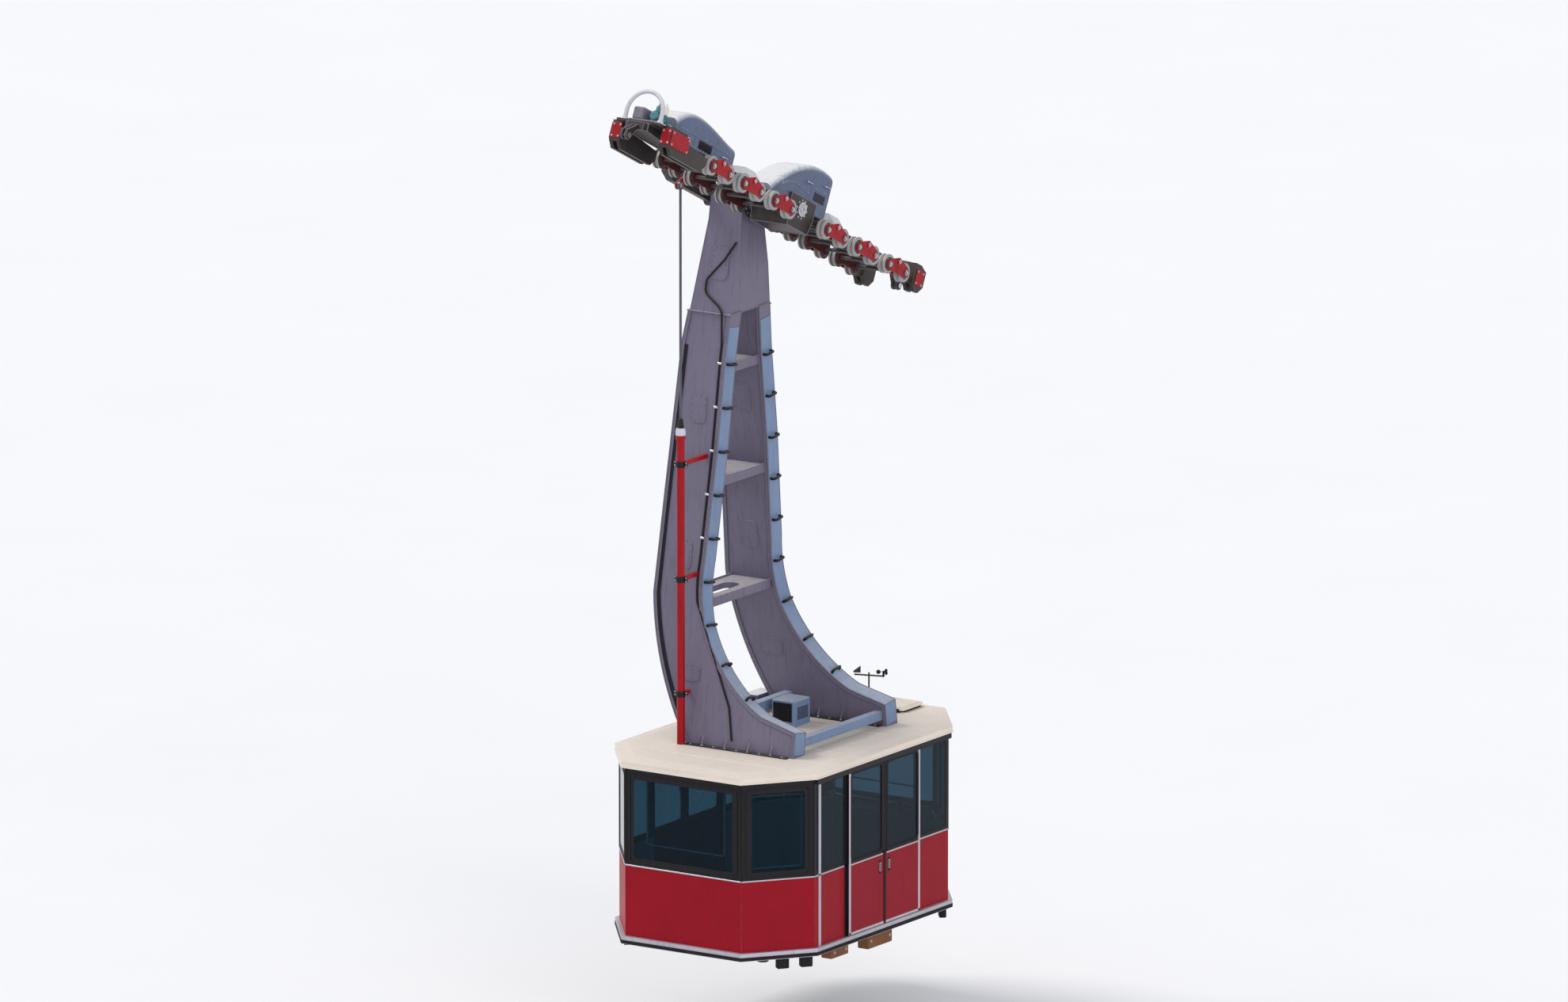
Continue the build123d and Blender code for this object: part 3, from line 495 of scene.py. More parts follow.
add_finish(
    "black_rubber", "black_rubber", (20, 19, 21), (74, 68, 64), (40, 39, 40), "black_frame", fade=0.25,
    streaks=0.12, dust=0.4, wear=0.2, roughness=0.72, grain=500.0, bump=0.35, specular=0.25,
)
add_finish(
    "floor_board", "floor_board_sheet", (92, 92, 98), (60, 54, 50), (120, 118, 118), patch=2.0, streaks=0.0,
    dust=0.5, wear=0.2, roughness=0.6, grain=320.0, bump=0.3,
)
add_finish(
    "lining_board", "lining_board", (172, 174, 178), (120, 116, 112), (190, 190, 192), "silver_cover",
    fade=0.08, streaks=0.04, dust=0.1, wear=0.1, grain=380.0, bump=0.15,
)
add_finish(
    "desk_plastic", "desk_moulded_plastic", (64, 68, 76), (92, 88, 84), (120, 120, 124), fade=0.15,
    streaks=0.0, dust=0.3, wear=0.3, grain=420.0, bump=0.2,
)
add_finish(
    "hardwood", "hardwood_block", (126, 84, 54), (58, 44, 36), (158, 118, 84), "red_panel", patch=4.0,
    fade=0.4, streaks=0.1, roughness=0.7, grain=60.0, stretch=(0.08, 1.0, 1.0), swell=0.6, bump=0.4,
    specular=0.3,
)
print("finishes:", len(finishes))

# %% [markdown]
# The panes are tinted safety glass. Real glass lets light through and mirrors the sky, so its shader
# is mostly transmission with a smooth surface. The dark tint is a colour on the shader itself, and a
# blue tint on its gloss is a painted reflection of a blue sky.

# %% Tinted glass
def add_glass(name, label, tint, clear, rough, ior, reflection_tint):
    """Glass with a tint, of which a share lets light through, and a tint on its gloss, which for the panes is
    a painted reflection of a blue sky.
    """
    material, tree = start_material(label)
    film = noise(tree, object_point(tree), 1.8, 5.0)
    shader = wire(
        tree, "ShaderNodeBsdfPrincipled",
        {
            "Base Color": linear(*tint), "Roughness": ramp(tree, film, 0.0, 1.0, rough, rough * 4),
            "Transmission Weight": clear, "IOR": ior, "Specular Tint": linear(*reflection_tint),
        },
    )
    wire(tree, "ShaderNodeOutputMaterial", {"Surface": shader.outputs["BSDF"]})
    finishes[name] = material


# The panes' blue gloss tint is a painted reflection of a blue sky.
add_glass("window_glass", "tinted_window_glass", (100, 130, 145), 0.96, 0.01, 1.18, (150, 184, 228))
add_glass("lamp_lens", "lamp_lens_glass", (238, 236, 228), 0.3, 0.1, 1.45, (255, 255, 255))
print("with glass:", len(finishes))

# %% [markdown]
# A roller is painted on its web and polished in its groove, where it rolls, and that pattern is round.
# So each wheelset gets its own copy of the finish with a Mapping node that moves the pattern's middle
# to its axle. The distance from the axle then picks the polished groove, and it turns with the wheel.
# Painted shade darkens the faces that look towards the middle of the carriage, which stand in its own
# shadow: there the place across it and the direction of the surface have opposite signs.

# %% Roller and rocker finishes
groove_outer = (0.1345, 0.1325)
groove_inner = (0.112, 0.116)
hub_grease = (0.062, 0.048)
inner_shade_range = (-0.02, -0.2)


def colour_end(material):
    """A material's tree, the shader's colour input and the socket that feeds it."""
    socket = material.node_tree.nodes["Principled BSDF"].inputs["Base Color"]
    return material.node_tree, socket, socket.links[0].from_socket


def make_roller_finish(number, middle):
    """Light paint on a roller's web, polished steel in its groove, a greased dark ring round its hub."""
    material = finishes["roller_base"].copy()
    material.name = f"roller_finish_{number:02d}"
    tree, socket, painted = colour_end(material)
    to_axle = {"Vector": object_point(tree), "Location": tuple(-part for part in middle)}
    flat = stretched(tree, wire(tree, "ShaderNodeMapping", to_axle).outputs["Vector"], (1.0, 0.0, 1.0))
    radius = wire(tree, "ShaderNodeVectorMath", {0: flat}, operation="LENGTH").outputs["Value"]
    groove = ramp(tree, radius, *groove_outer)
    groove = arithmetic(tree, "MULTIPLY", groove, ramp(tree, radius, *groove_inner))
    polished = mixed(tree, groove, painted, linear(150, 146, 144))
    greased = mixed(tree, ramp(tree, radius, *hub_grease, 0.0, 0.85), polished, linear(48, 42, 40))
    tree.links.new(greased, socket)
    return material


def paint_inner_shade(material, shade_colour):
    """Paints shade onto the faces that look towards the middle of the carriage."""
    tree, socket, painted = colour_end(material)
    place_y = part_of(tree, object_point(tree), "Y")
    outward = arithmetic(tree, "MULTIPLY", place_y, part_of(tree, surface_normal(tree), "Y"))
    inner = ramp(tree, outward, *inner_shade_range, 0.0, 0.88)
    tree.links.new(mixed(tree, inner, painted, linear(*shade_colour)), socket)
    return material


finishes["rocker"] = finishes["red_steel"].copy()
finishes["rocker"].name = "rocker_enamel"
# Painted shade on the rockers' inner faces.
paint_inner_shade(finishes["rocker"], (44, 34, 31))
print("with rockers:", len(finishes))

# %% Dress the engineering parts
# The foot bars and the roof locker take the painted skylight.
other_finish = {
    "rockers": "rocker", "guard_hoop": "light_cover", "yokes": "light_cover", "foot_bars": "painted_skylight",
    "roof_locker": "painted_skylight", "damper_rod": "oiled_rod", "door_tracks": "black_frame",
}
for name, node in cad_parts.items():
    for slot in node.material_slots:
        finish = other_finish.get(name, slot.material.name.split(".")[0])
        slot.material = finishes.get(finish, slot.material)
for number, middle in enumerate(wheel_centres, start=1):
    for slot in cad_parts[f"wheelset_{number:02d}"].material_slots:
        # Painted shade on the rollers' inner faces.
        slot.material = paint_inner_shade(make_roller_finish(number, middle), (70, 62, 58))
print("parts dressed:", len(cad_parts))

# %% [markdown]
# ## Shapes
# Most small fittings are blocks with cut edges, turned pieces and flat plates. Each helper gives one
# such shape as points and faces round a local origin. A piece then joins many placed shapes into one
# mesh, which keeps hundreds of little fittings light and easy to move together.

# %% Block
def block_corner(axis, a, b, c):
    """The signs of a block's corner: c along an axis, a and b along the other two."""
    signs = [a, b]
    signs.insert(axis, c)
    return tuple(signs)


def block(length, width, height, chamfer=0.0):
    """A block centred on the origin, with each edge cut back by the chamfer."""
    half = (length / 2, width / 2, height / 2)
    signs = [(a, b, c) for a in pair for b in pair for c in pair]
    points = [
        tuple(sign[i] * (half[i] if i == axis else half[i] - chamfer) for i in range(3))
        for sign in signs for axis in range(3)
    ]
    index = {(sign, axis): 3 * number + axis for number, sign in enumerate(signs) for axis in range(3)}
    faces = []
    for axis in range(3):
        first, second = [i for i in range(3) if i != axis]
        for c in pair:
            loop = ((-1, -1), (1, -1), (1, 1), (-1, 1))
            faces.append([index[block_corner(axis, a, b, c), axis] for a, b in loop])
        for a, b in rectangle(1, 1) if chamfer else []:
            low, high = (block_corner(axis, a, b, c) for c in pair)
            faces.append([index[low, first], index[high, first], index[high, second], index[low, second]])
    if chamfer:
        faces.extend([index[sign, 0], index[sign, 1], index[sign, 2]] for sign in signs)
    return points, faces


print("faces of a block:", len(block(1, 1, 1, 0.1)[1]))

# %% Turned shapes
def turned(profile, sides=24):
    """A shape turned round local Z from rows of (radius, height). A radius of 0 closes an end."""
    points = []
    rings = []
    for radius, height in profile:
        count = sides if radius else 1
        rings.append(list(range(len(points), len(points) + count)))
        for step in range(count):
            angle = 2 * math.pi * step / sides
            points.append((radius * math.cos(angle), radius * math.sin(angle), height))
    joined = list(zip(rings, rings[1:]))
    if len(rings[0]) > 1 and len(rings[-1]) > 1:
        joined.append((rings[-1], rings[0]))
    faces = []
    for lower, upper in joined:
        for step in range(sides):
            after = (step + 1) % sides
            loop = [lower[step % len(lower)], lower[after % len(lower)]]
            loop += [upper[after % len(upper)], upper[step % len(upper)]]
            faces.append(list(dict.fromkeys(loop)))
    return points, faces


def collar(inner, outer, low, high, sides=24):
    """A turned ring with a square section."""
    return turned([(inner, low), (outer, low), (outer, high), (inner, high)], sides)


print("faces of a cone:", len(turned([(0, 0), (1, 0), (0, 1)])[1]))

# %% Plates and rings
def ring_faces(rows, count, closed):
    """Faces between rows of as many points each, from the last row to the first too if closed."""
    faces = []
    for row in range(rows if closed else rows - 1):
        start, below = row * count, (row + 1) % rows * count
        for step in range(count):
            after = (step + 1) % count
            faces.append([start + step, start + after, below + after, below + step])
    return faces


def plate(outline, thickness):
    """A flat plate of an outline in local X and Y, standing on Z = 0."""
    count = len(outline)
    points = [(x, y, level) for level in (0.0, thickness) for x, y in outline]
    return points, [list(range(count)), list(range(count, 2 * count))] + ring_faces(2, count, False)


def rounded_outline(width, height, radius, steps=6):
    """The outline of a rectangle with round corners."""
    outline = []
    for turn, (a, b) in enumerate(((1, 1), (-1, 1), (-1, -1), (1, -1))):
        for angle in evenly(math.pi / 2 * turn, math.pi / 2 * (turn + 1), steps + 1):
            x = a * (width / 2 - radius) + radius * math.cos(angle)
            outline.append((x, b * (height / 2 - radius) + radius * math.sin(angle)))
    return outline


def spaced(outline, count):
    """Points at equal steps round a closed outline."""
    loop = [Vector(point) for point in outline] + [Vector(outline[0])]
    lengths = [(b - a).length for a, b in zip(loop, loop[1:])]
    found = []
    for step in range(count):
        left = sum(lengths) * step / count
        index = 0
        while left > lengths[index]:
            left -= lengths[index]
            index += 1
        found.append(loop[index].lerp(loop[index + 1], left / max(lengths[index], 1e-9)))
    return found


def frame_ring(width, height, radius, band, low, high):
    """A ring round a rounded opening: its band lies outside the opening and is crowned to high."""
    shoulder = low + 0.75 * (high - low)
    points = []
    for grown, level in ((0, low), (0, shoulder), (band / 2, high), (band, shoulder), (band, low)):
        outline = rounded_outline(width + 2 * grown, height + 2 * grown, radius + grown)
        points += [(x, y, level) for x, y in outline]
    return points, ring_faces(5, len(outline), True)


print("faces of a frame:", len(frame_ring(1, 1, 0.1, 0.1, 0, 0.1)[1]))

# %% Joining shapes into a piece
piece_log = []
sharp_angle = math.radians(32)


def add_piece(name, mesh, finish, body):
    """Gives a mesh its finish and smooth shading, and lets it ride on a body."""
    mesh.materials.clear()
    mesh.materials.append(finishes[finish])
    mesh.shade_smooth()
    mesh.set_sharp_from_angle(angle=sharp_angle)
    piece = bpy.data.objects.new(name, mesh)
    bpy.context.collection.objects.link(piece)
    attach(piece, body)
    mesh.calc_loop_triangles()
    piece_log.append((len(mesh.loop_triangles), name))


def build(name, shapes, finish, body=cabin):
    """Joins placed shapes into one mesh whose faces look outwards."""
    points = []
    faces = []
    for place, (local_points, local_faces) in shapes:
        start = len(points)
        points.extend(place @ Vector(point) for point in local_points)
        faces.extend([start + corner for corner in face] for face in local_faces)
    mesh = bpy.data.meshes.new(name)
    mesh.from_pydata(points, [], faces)
    shell = bmesh.new()
    shell.from_mesh(mesh)
    bmesh.ops.recalc_face_normals(shell, faces=shell.faces)
    shell.to_mesh(mesh)
    shell.free()
    add_piece(name, mesh, finish, body)


def facing(point, direction, run=None):
    """A place at a point whose Z looks in a direction and whose X follows a run."""
    up = Vector(direction).normalized()
    guide = Vector(run) if run is not None else (along if abs(up.dot(along)) < 0.9 else across)
    side = (guide - up * guide.dot(up)).normalized()
    return placed(point, side, up.cross(side), up)


print("pieces so far:", len(piece_log))

# %% [markdown]
# ## Trees that make what repeats
# Bolts, bars, ribs and weld beads come in hundreds. A Geometry Nodes tree makes each kind: it takes a
# few points or edges that say where, and named inputs that say how big. The result is turned into a
# plain mesh straight away, so that the finished model holds no live modifier.

# %% Carriers for the trees
def point_cloud(rows):
    """A mesh of loose points from rows of (point, facing, run, size)."""
    mesh = bpy.data.meshes.new("places")
    mesh.from_pydata([row[0] for row in rows], [], [])
    for label in ("facing", "run"):
        mesh.attributes.new(label, "FLOAT_VECTOR", "POINT")
    mesh.attributes.new("size", "FLOAT", "POINT")
    for number, (_, look, run, size) in enumerate(rows):
        mesh.attributes["facing"].data[number].vector = look
        mesh.attributes["run"].data[number].vector = run
        mesh.attributes["size"].data[number].value = size
    return mesh


def edge_paths(paths):
    """A mesh of loose edges along paths of points. A path that ends where it starts is closed."""
    points = []
    edges = []
    for path in paths:
        closed = path[0] == path[-1]
        own = path[:-1] if closed else path
        start = len(points)
        points.extend(own)
        edges.extend((start + i, start + i + 1) for i in range(len(own) - 1))
        if closed:
            edges.append((len(points) - 1, start))
    mesh = bpy.data.meshes.new("paths")
    mesh.from_pydata(points, edges, [])
    return mesh


print("a path of three points has", len(edge_paths([[(0, 0, 0), (1, 0, 0), (1, 1, 0)]]).edges), "edges")

# %% Running a tree
def grow(name, carrier, tree, values, finish, body):
    """Runs a tree on a carrier mesh and keeps the result as a plain mesh."""
    holder = bpy.data.objects.new(name + "_carrier", carrier)
    bpy.context.collection.objects.link(holder)
    modifier = holder.modifiers.new("grow", "NODES")
    modifier.node_group = tree
    values = dict(values, Material=finishes[finish])
    for item in tree.interface.items_tree:
        if item.item_type == "SOCKET" and item.in_out == "INPUT" and item.name in values:
            modifier[item.identifier] = values[item.name]
    evaluated = holder.evaluated_get(bpy.context.evaluated_depsgraph_get())
    mesh = bpy.data.meshes.new_from_object(evaluated)
    mesh.name = name
    holder.modifiers.remove(modifier)
    bpy.data.objects.remove(holder)
    for label in [item.name for item in mesh.attributes if item.name in ("facing", "run", "size")]:
        mesh.attributes.remove(mesh.attributes[label])
    add_piece(name, mesh, finish, body)


def start_geometry(name, takes):
    """Starts a geometry tree that ends in one geometry, with a material as its last input."""
    takes = {"Geometry": "Geometry", **takes, "Material": "Material"}
    return start_group(name, "GeometryNodeTree", takes, {"Geometry": "Geometry"})


def end_geometry(tree, given, geometry):
    """Ends a tree: real geometry in place of instances, then the material."""
    real = wire(tree, "GeometryNodeRealizeInstances", {"Geometry": geometry}).outputs["Geometry"]
    painted = wire(tree, "GeometryNodeSetMaterial", {"Geometry": real, "Material": given["Material"]})
    wire(tree, "NodeGroupOutput", {"Geometry": painted.outputs["Geometry"]})
    return tree


def attribute(tree, name, kind):
    """Reads a named attribute."""
    return wire(tree, "GeometryNodeInputNamedAttribute", {"Name": name}, data_type=kind).outputs["Attribute"]


def turned_to_place(tree):
    """The rotation that turns Z to the facing attribute and X to the run attribute."""
    look = {"Vector": attribute(tree, "facing", "FLOAT_VECTOR")}
    up = wire(tree, "FunctionNodeAlignRotationToVector", look, axis="Z").outputs["Rotation"]
    run = {"Rotation": up, "Vector": attribute(tree, "run", "FLOAT_VECTOR")}
    side = wire(tree, "FunctionNodeAlignRotationToVector", run, axis="X", pivot_axis="Z")
    return side.outputs["Rotation"]


def vector_of(tree, **parts):
    """A vector from its parts X, Y and Z."""
    return wire(tree, "ShaderNodeCombineXYZ", parts).outputs["Vector"]


def moved(tree, geometry, **inputs):
    """A geometry moved or turned as a whole."""
    return wire(tree, "GeometryNodeTransform", {"Geometry": geometry, **inputs}).outputs["Geometry"]


def cylinder(tree, vertices, radius, depth):
    """A cylinder centred on the origin."""
    inputs = {"Vertices": vertices, "Radius": radius, "Depth": depth}
    return wire(tree, "GeometryNodeMeshCylinder", inputs).outputs["Mesh"]


def copies(tree, points, instance, **inputs):
    """A geometry repeated on points."""
    inputs = {"Points": points, "Instance": instance, **inputs}
    return wire(tree, "GeometryNodeInstanceOnPoints", inputs).outputs["Instances"]


print("tree helpers:", [helper.__name__ for helper in (vector_of, moved, cylinder, copies)])

# %% [markdown]
# A bolt is a washer, a hexagon head and the end of its thread, drawn for a head radius of 1 m and
# scaled by each point's size. A random turn about its own axis keeps a row from looking stamped.

# %% Bolts tree
sixth_turn = 1.05


def make_bolts():
    """Hexagon bolts with washers on points, each turned at random about its own axis."""
    takes = {"Head height": 0.65, "Washer radius": 1.45, "Washer thickness": 0.22, "Seed": 4}
    tree, given = start_geometry("hexagon_bolts", takes)
    height = given["Head height"]
    washer = cylinder(tree, 12, given["Washer radius"], given["Washer thickness"])
    lift = vector_of(tree, Z=arithmetic(tree, "MULTIPLY", height, 0.5))
    head = moved(tree, cylinder(tree, 6, 1.0, height), Translation=lift)
    end = moved(tree, cylinder(tree, 8, 0.5, 0.3), Translation=vector_of(tree, Z=height))
    bolt = wire(tree, "GeometryNodeJoinGeometry")
    for part in (washer, head, end):
        tree.links.new(part, bolt.inputs["Geometry"])
    placed_bolts = copies(
        tree, given["Geometry"], bolt.outputs["Geometry"], Rotation=turned_to_place(tree),
        Scale=attribute(tree, "size", "FLOAT"),
    )
    turns = {2: 0.0, 3: sixth_turn, "Seed": given["Seed"]}
    spin = wire(tree, "FunctionNodeRandomValue", turns, data_type="FLOAT").outputs[1]
    inputs = {"Instances": placed_bolts, "Rotation": vector_of(tree, Z=spin)}
    return end_geometry(tree, given, wire(tree, "GeometryNodeRotateInstances", inputs).outputs["Instances"])


bolts_tree = make_bolts()


def bolts(name, rows, finish="bright_steel", body=cabin):
    """Bolts on rows of (point, facing, head radius)."""
    places = [(point, look, Vector(look).orthogonal(), size) for point, look, size in rows]
    grow(name, point_cloud(places), bolts_tree, {}, finish, body)


print("bolts tree has", len(bolts_tree.nodes), "nodes")

# %% [markdown]
# Pipes, rails, handles and cables are round bars along a path. Fillet Curve bends them at the path's
# corners, which is how a pipe bender makes them.

# %% Bars tree
def swept_round(tree, curve, sides, radius):
    """A closed round bar along a curve."""
    ring = wire(tree, "GeometryNodeCurvePrimitiveCircle", {"Resolution": sides, "Radius": radius})
    inputs = {"Curve": curve, "Profile Curve": ring.outputs["Curve"], "Fill Caps": True}
    return wire(tree, "GeometryNodeCurveToMesh", inputs).outputs["Mesh"]


def make_bars():
    """Round bars along edges, with bends of a radius at their corners."""
    tree, given = start_geometry("round_bars", {"Radius": 0.01, "Bend": 0.03, "Sides": 10})
    path = wire(tree, "GeometryNodeMeshToCurve", {"Mesh": given["Geometry"]}).outputs["Curve"]
    bends = {"Curve": path, "Radius": given["Bend"], "Limit Radius": True, "Count": 6}
    bent = wire(tree, "GeometryNodeFilletCurve", bends, mode="POLY").outputs["Curve"]
    return end_geometry(tree, given, swept_round(tree, bent, given["Sides"], given["Radius"]))


bars_tree = make_bars()


def bars(name, paths, radius, bend, finish, body=cabin, sides=10):
    """Round bars along paths of points."""
    values = {"Radius": radius, "Bend": bend, "Sides": sides}
    grow(name, edge_paths(paths), bars_tree, values, finish, body)


print("bars tree has", len(bars_tree.nodes), "nodes")

# %% [markdown]
# Louvres, fins and box ribs are rows of equal ribs. The tree puts a row of copies on each point, so a
# piece only says where its rows stand and how many ribs they have.

# %% Rib rows tree
def make_ribs():
    """On each point a row of equal ribs: long in the run's direction, stepped across it."""
    takes = {"Length": 0.2, "Width": 0.01, "Height": 0.01, "Count": 6, "Step": 0.02, "Tilt": 0.0}
    tree, given = start_geometry("rib_rows", takes)
    size = vector_of(tree, X=given["Length"], Y=given["Width"], Z=given["Height"])
    rib = wire(tree, "GeometryNodeMeshCube", {"Size": size}).outputs["Mesh"]
    tilted = moved(tree, rib, Rotation=vector_of(tree, X=given["Tilt"]))
    reach = arithmetic(tree, "MULTIPLY", arithmetic(tree, "SUBTRACT", given["Count"], 1.0), given["Step"])
    first = vector_of(tree, Y=arithmetic(tree, "MULTIPLY", reach, -0.5))
    line = {"Count": given["Count"], "Start Location": first, "Offset": vector_of(tree, Y=given["Step"])}
    row = copies(tree, wire(tree, "GeometryNodeMeshLine", line, mode="OFFSET").outputs["Mesh"], tilted)
    return end_geometry(tree, given, copies(tree, given["Geometry"], row, Rotation=turned_to_place(tree)))


ribs_tree = make_ribs()


def ribs(name, places, size, count, step, finish, body=cabin, tilt=0.0):
    """Rows of ribs of a size (length, width, height) on rows of (point, facing, run)."""
    values = dict(zip(("Length", "Width", "Height"), size), Count=count, Step=step, Tilt=tilt)
    grow(name, point_cloud([(*place, 1.0) for place in places]), ribs_tree, values, finish, body)


print("ribs tree has", len(ribs_tree.nodes), "nodes")

# %% [markdown]
# A weld runs along the inner corner where two plates meet. The part's own mesh tells where that is:
# the signed angle between two faces is large at an inner corner, so the tree picks those edges.

# %% Weld beads tree
def make_beads():
    """Beads along a mesh's inner corners, where the signed angle between its faces is large enough."""
    tree, given = start_geometry("weld_beads", {"Radius": 0.007, "Least angle": 1.0})
    angle = wire(tree, "GeometryNodeInputMeshEdgeAngle").outputs["Signed Angle"]
    test = {0: angle, 1: given["Least angle"]}
    corner = wire(tree, "FunctionNodeCompare", test, data_type="FLOAT", operation="GREATER_THAN")
    picked = {"Mesh": given["Geometry"], "Selection": corner.outputs["Result"]}
    path = wire(tree, "GeometryNodeMeshToCurve", picked).outputs["Curve"]
    return end_geometry(tree, given, swept_round(tree, path, 6, given["Radius"]))


beads_tree = make_beads()


def weld_beads(name, node, radius, body=cabin):
    """Weld beads on a part, found on a copy whose loose triangles are joined to whole faces."""
    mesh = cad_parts[node].data.copy()
    shell = bmesh.new()
    shell.from_mesh(mesh)
    bmesh.ops.remove_doubles(shell, verts=shell.verts, dist=0.0001)
    bmesh.ops.dissolve_limit(shell, angle_limit=math.radians(1), verts=shell.verts, edges=shell.edges)
    shell.to_mesh(mesh)
    shell.free()
    grow(name, mesh, beads_tree, {"Radius": radius}, "weld_metal", body)


print("beads tree has", len(beads_tree.nodes), "nodes")

# %% [markdown]
# ## The carriage
# The carriage runs on twelve wheelsets. Each axle ends in a hexagon nut, and each roller has a ring
# of bolts round its hub. They are bolts on points, so the tree places them all, and those of one
# wheelset ride on it and turn with it.

# %% Wheelset nuts and hub bolts
axle_end_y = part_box("wheelset_01")[1].y
web_half = 0.016
hub_ring = 0.072
axle_nut_radius = 0.027
hub_bolt_radius = 0.009


def ring_rows(middle, axis, radius, count, size, start=0.0):
    """Rows of bolts on a circle round a middle, all facing along an axis."""
    axis = Vector(axis).normalized()
    side = axis.orthogonal().normalized()
    rows = []
    for step in range(count):
        spoke = Matrix.Rotation(start + 2 * math.pi * step / count, 3, axis) @ side
        rows.append((middle + spoke * radius, axis, size))
    return rows


for number, middle in enumerate(wheel_centres, start=1):
    rows = []
    for side in pair:
        look = across * side
        rows.append((middle + look * (axle_end_y - 0.006), look, axle_nut_radius))
        for face in pair:
            web = middle + across * (side * roller_y + face * web_half)
            rows += ring_rows(web, across * face, hub_ring, 6, hub_bolt_radius)
    bolts(f"wheel_bolts_{number:02d}", rows, body=f"wheelset_{number:02d}")
print("bolts on each wheelset:", len(rows))

# %% [markdown]
# A rocker swings on a pivot tube between its two wheelsets. Its outer end shows a cap with a nut, and
# grease works out round it. The stations of the pivots lie midway between neighbouring wheelsets.

# %% Rocker pivots, bosses and ribs
rocker_us = [(a.dot(along) + b.dot(along)) / 2 for a, b in zip(wheel_centres[::2], wheel_centres[1::2])]
pivot_w = 0.24
pivot_face = 0.482
cheek_face = 0.472
boss_reach = 0.22
boss_w = 0.143
nuts = []
bosses = []
cheek_ribs = []
for u in rocker_us:
    for side in pair:
        look = across * side
        pivot = on_deck(u, side * pivot_face, pivot_w)
        nuts.append((pivot, look, 0.02))
        nuts += ring_rows(pivot, look, 0.033, 4, 0.0055, 0.4)
        for end in pair:
            place = facing(on_deck(u + end * boss_reach, side * cheek_face, boss_w), look)
            bosses.append((place, collar(0.052, 0.06, 0.0, 0.005, 28)))
        place = facing(on_deck(u, side * (cheek_face + 0.003), 0.165), look, along)
        cheek_ribs.append((place, block(0.3, 0.02, 0.006, 0.002)))
bolts("rocker_pivot_nuts", nuts, body=carriage)
build("axle_boss_rings", bosses, "dark_steel", carriage)
build("rocker_cheek_ribs", cheek_ribs, "red_steel", carriage)
print("rockers:", len(rocker_us))

# %% [markdown]
# The hoods are folded and riveted sheet. A rolled sheet shows its joints as thin raised strips, a row
# of rivets along its lower edge, a panel of louvres where the drive gets its air, and handles. Strips
# and handles are bars along paths, rivets are turned domes, and louvres are a row of ribs.

# %% Hood trim
hood_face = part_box("front_hood")[1].y + 0.001
rivet_w = 0.315
rivet_step = 0.075
seam_rivets = (0.25, 0.75)
# Each hood has the ends of its rivet row, its seams as rows of (u, w), its louvres as (u, w, length,
# count, step) and its handles as (u, w)
hood_table = {
    "front": (
        (-3.40, -1.90),
        [
            [(-3.36, 0.45), (-3.10, 0.455), (-2.50, 0.45), (-1.93, 0.43)],
            [(-2.93, 0.30), (-2.93, 0.60)],
            [(-2.35, 0.30), (-2.35, 0.585)],
        ],
        (-2.64, 0.375, 0.34, 6, 0.02),
        [(-3.15, 0.37), (-2.15, 0.37)],
    ),
    "centre": (
        (0.345, 0.62),
        [
            [(0.17, 0.44), (0.17, 0.79)],
            [(-0.60, 0.46), (-0.46, 0.53), (-0.30, 0.56), (-0.12, 0.55), (0.17, 0.50)],
            [(0.17, 0.62), (0.62, 0.62)],
        ],
        (0.40, 0.53, 0.28, 5, 0.024),
        [(0.05, 0.66), (0.50, 0.72)],
    ),
}
rivet = turned([(0.007, 0.0), (0.006, 0.003), (0.0, 0.0045)], 8)
handle = [(-0.06, 0.0), (-0.06, 0.045), (0.06, 0.045), (0.06, 0.0)]
for name, ((first, last), seams, (slat_u, slat_w, length, count, step), handles) in hood_table.items():
    rivet_spots = [(u, rivet_w) for u in evenly(first, last, int((last - first) / rivet_step) + 1)]
    for seam in seams:
        for (u0, w0), (u1, w1) in zip(seam, seam[1:]):
            rivet_spots += [(u0 + (u1 - u0) * part, w0 + (w1 - w0) * part + 0.022) for part in seam_rivets]
    rivets = []
    strips = []
    grips = []
    slats = []
    for side in pair:
        face = side * hood_face
        rivets += [(facing(on_deck(u, face, w), across * side), rivet) for u, w in rivet_spots]
        strips += [[on_deck(u, face, w) for u, w in seam] for seam in seams]
        grips += [[on_deck(u + du, face + side * out, w) for du, out in handle] for u, w in handles]
        slats.append((on_deck(slat_u, face, slat_w), across * side, along))
    build(f"{name}_hood_rivets", rivets, "bright_steel", carriage)
    bars(f"{name}_hood_seams", strips, 0.006, 0.05, "silver_cover", carriage, 8)
    bars(f"{name}_hood_handles", grips, 0.007, 0.02, "bright_steel", carriage)
    ribs(f"{name}_hood_louvres", slats, (length, 0.016, 0.01), count, step, "black_frame", carriage, 0.5)
    print("rivets on the", name, "hood:", len(rivets))

# %% [markdown]
# A hydraulic power unit sits inside the guard hoop and works the brakes. It is a motor with
# cooling fins, a tank, two pressure bottles that stand upright, and pipes that run to each brake.
# The round parts are turned from a few radii, the way that they would be on a lathe.

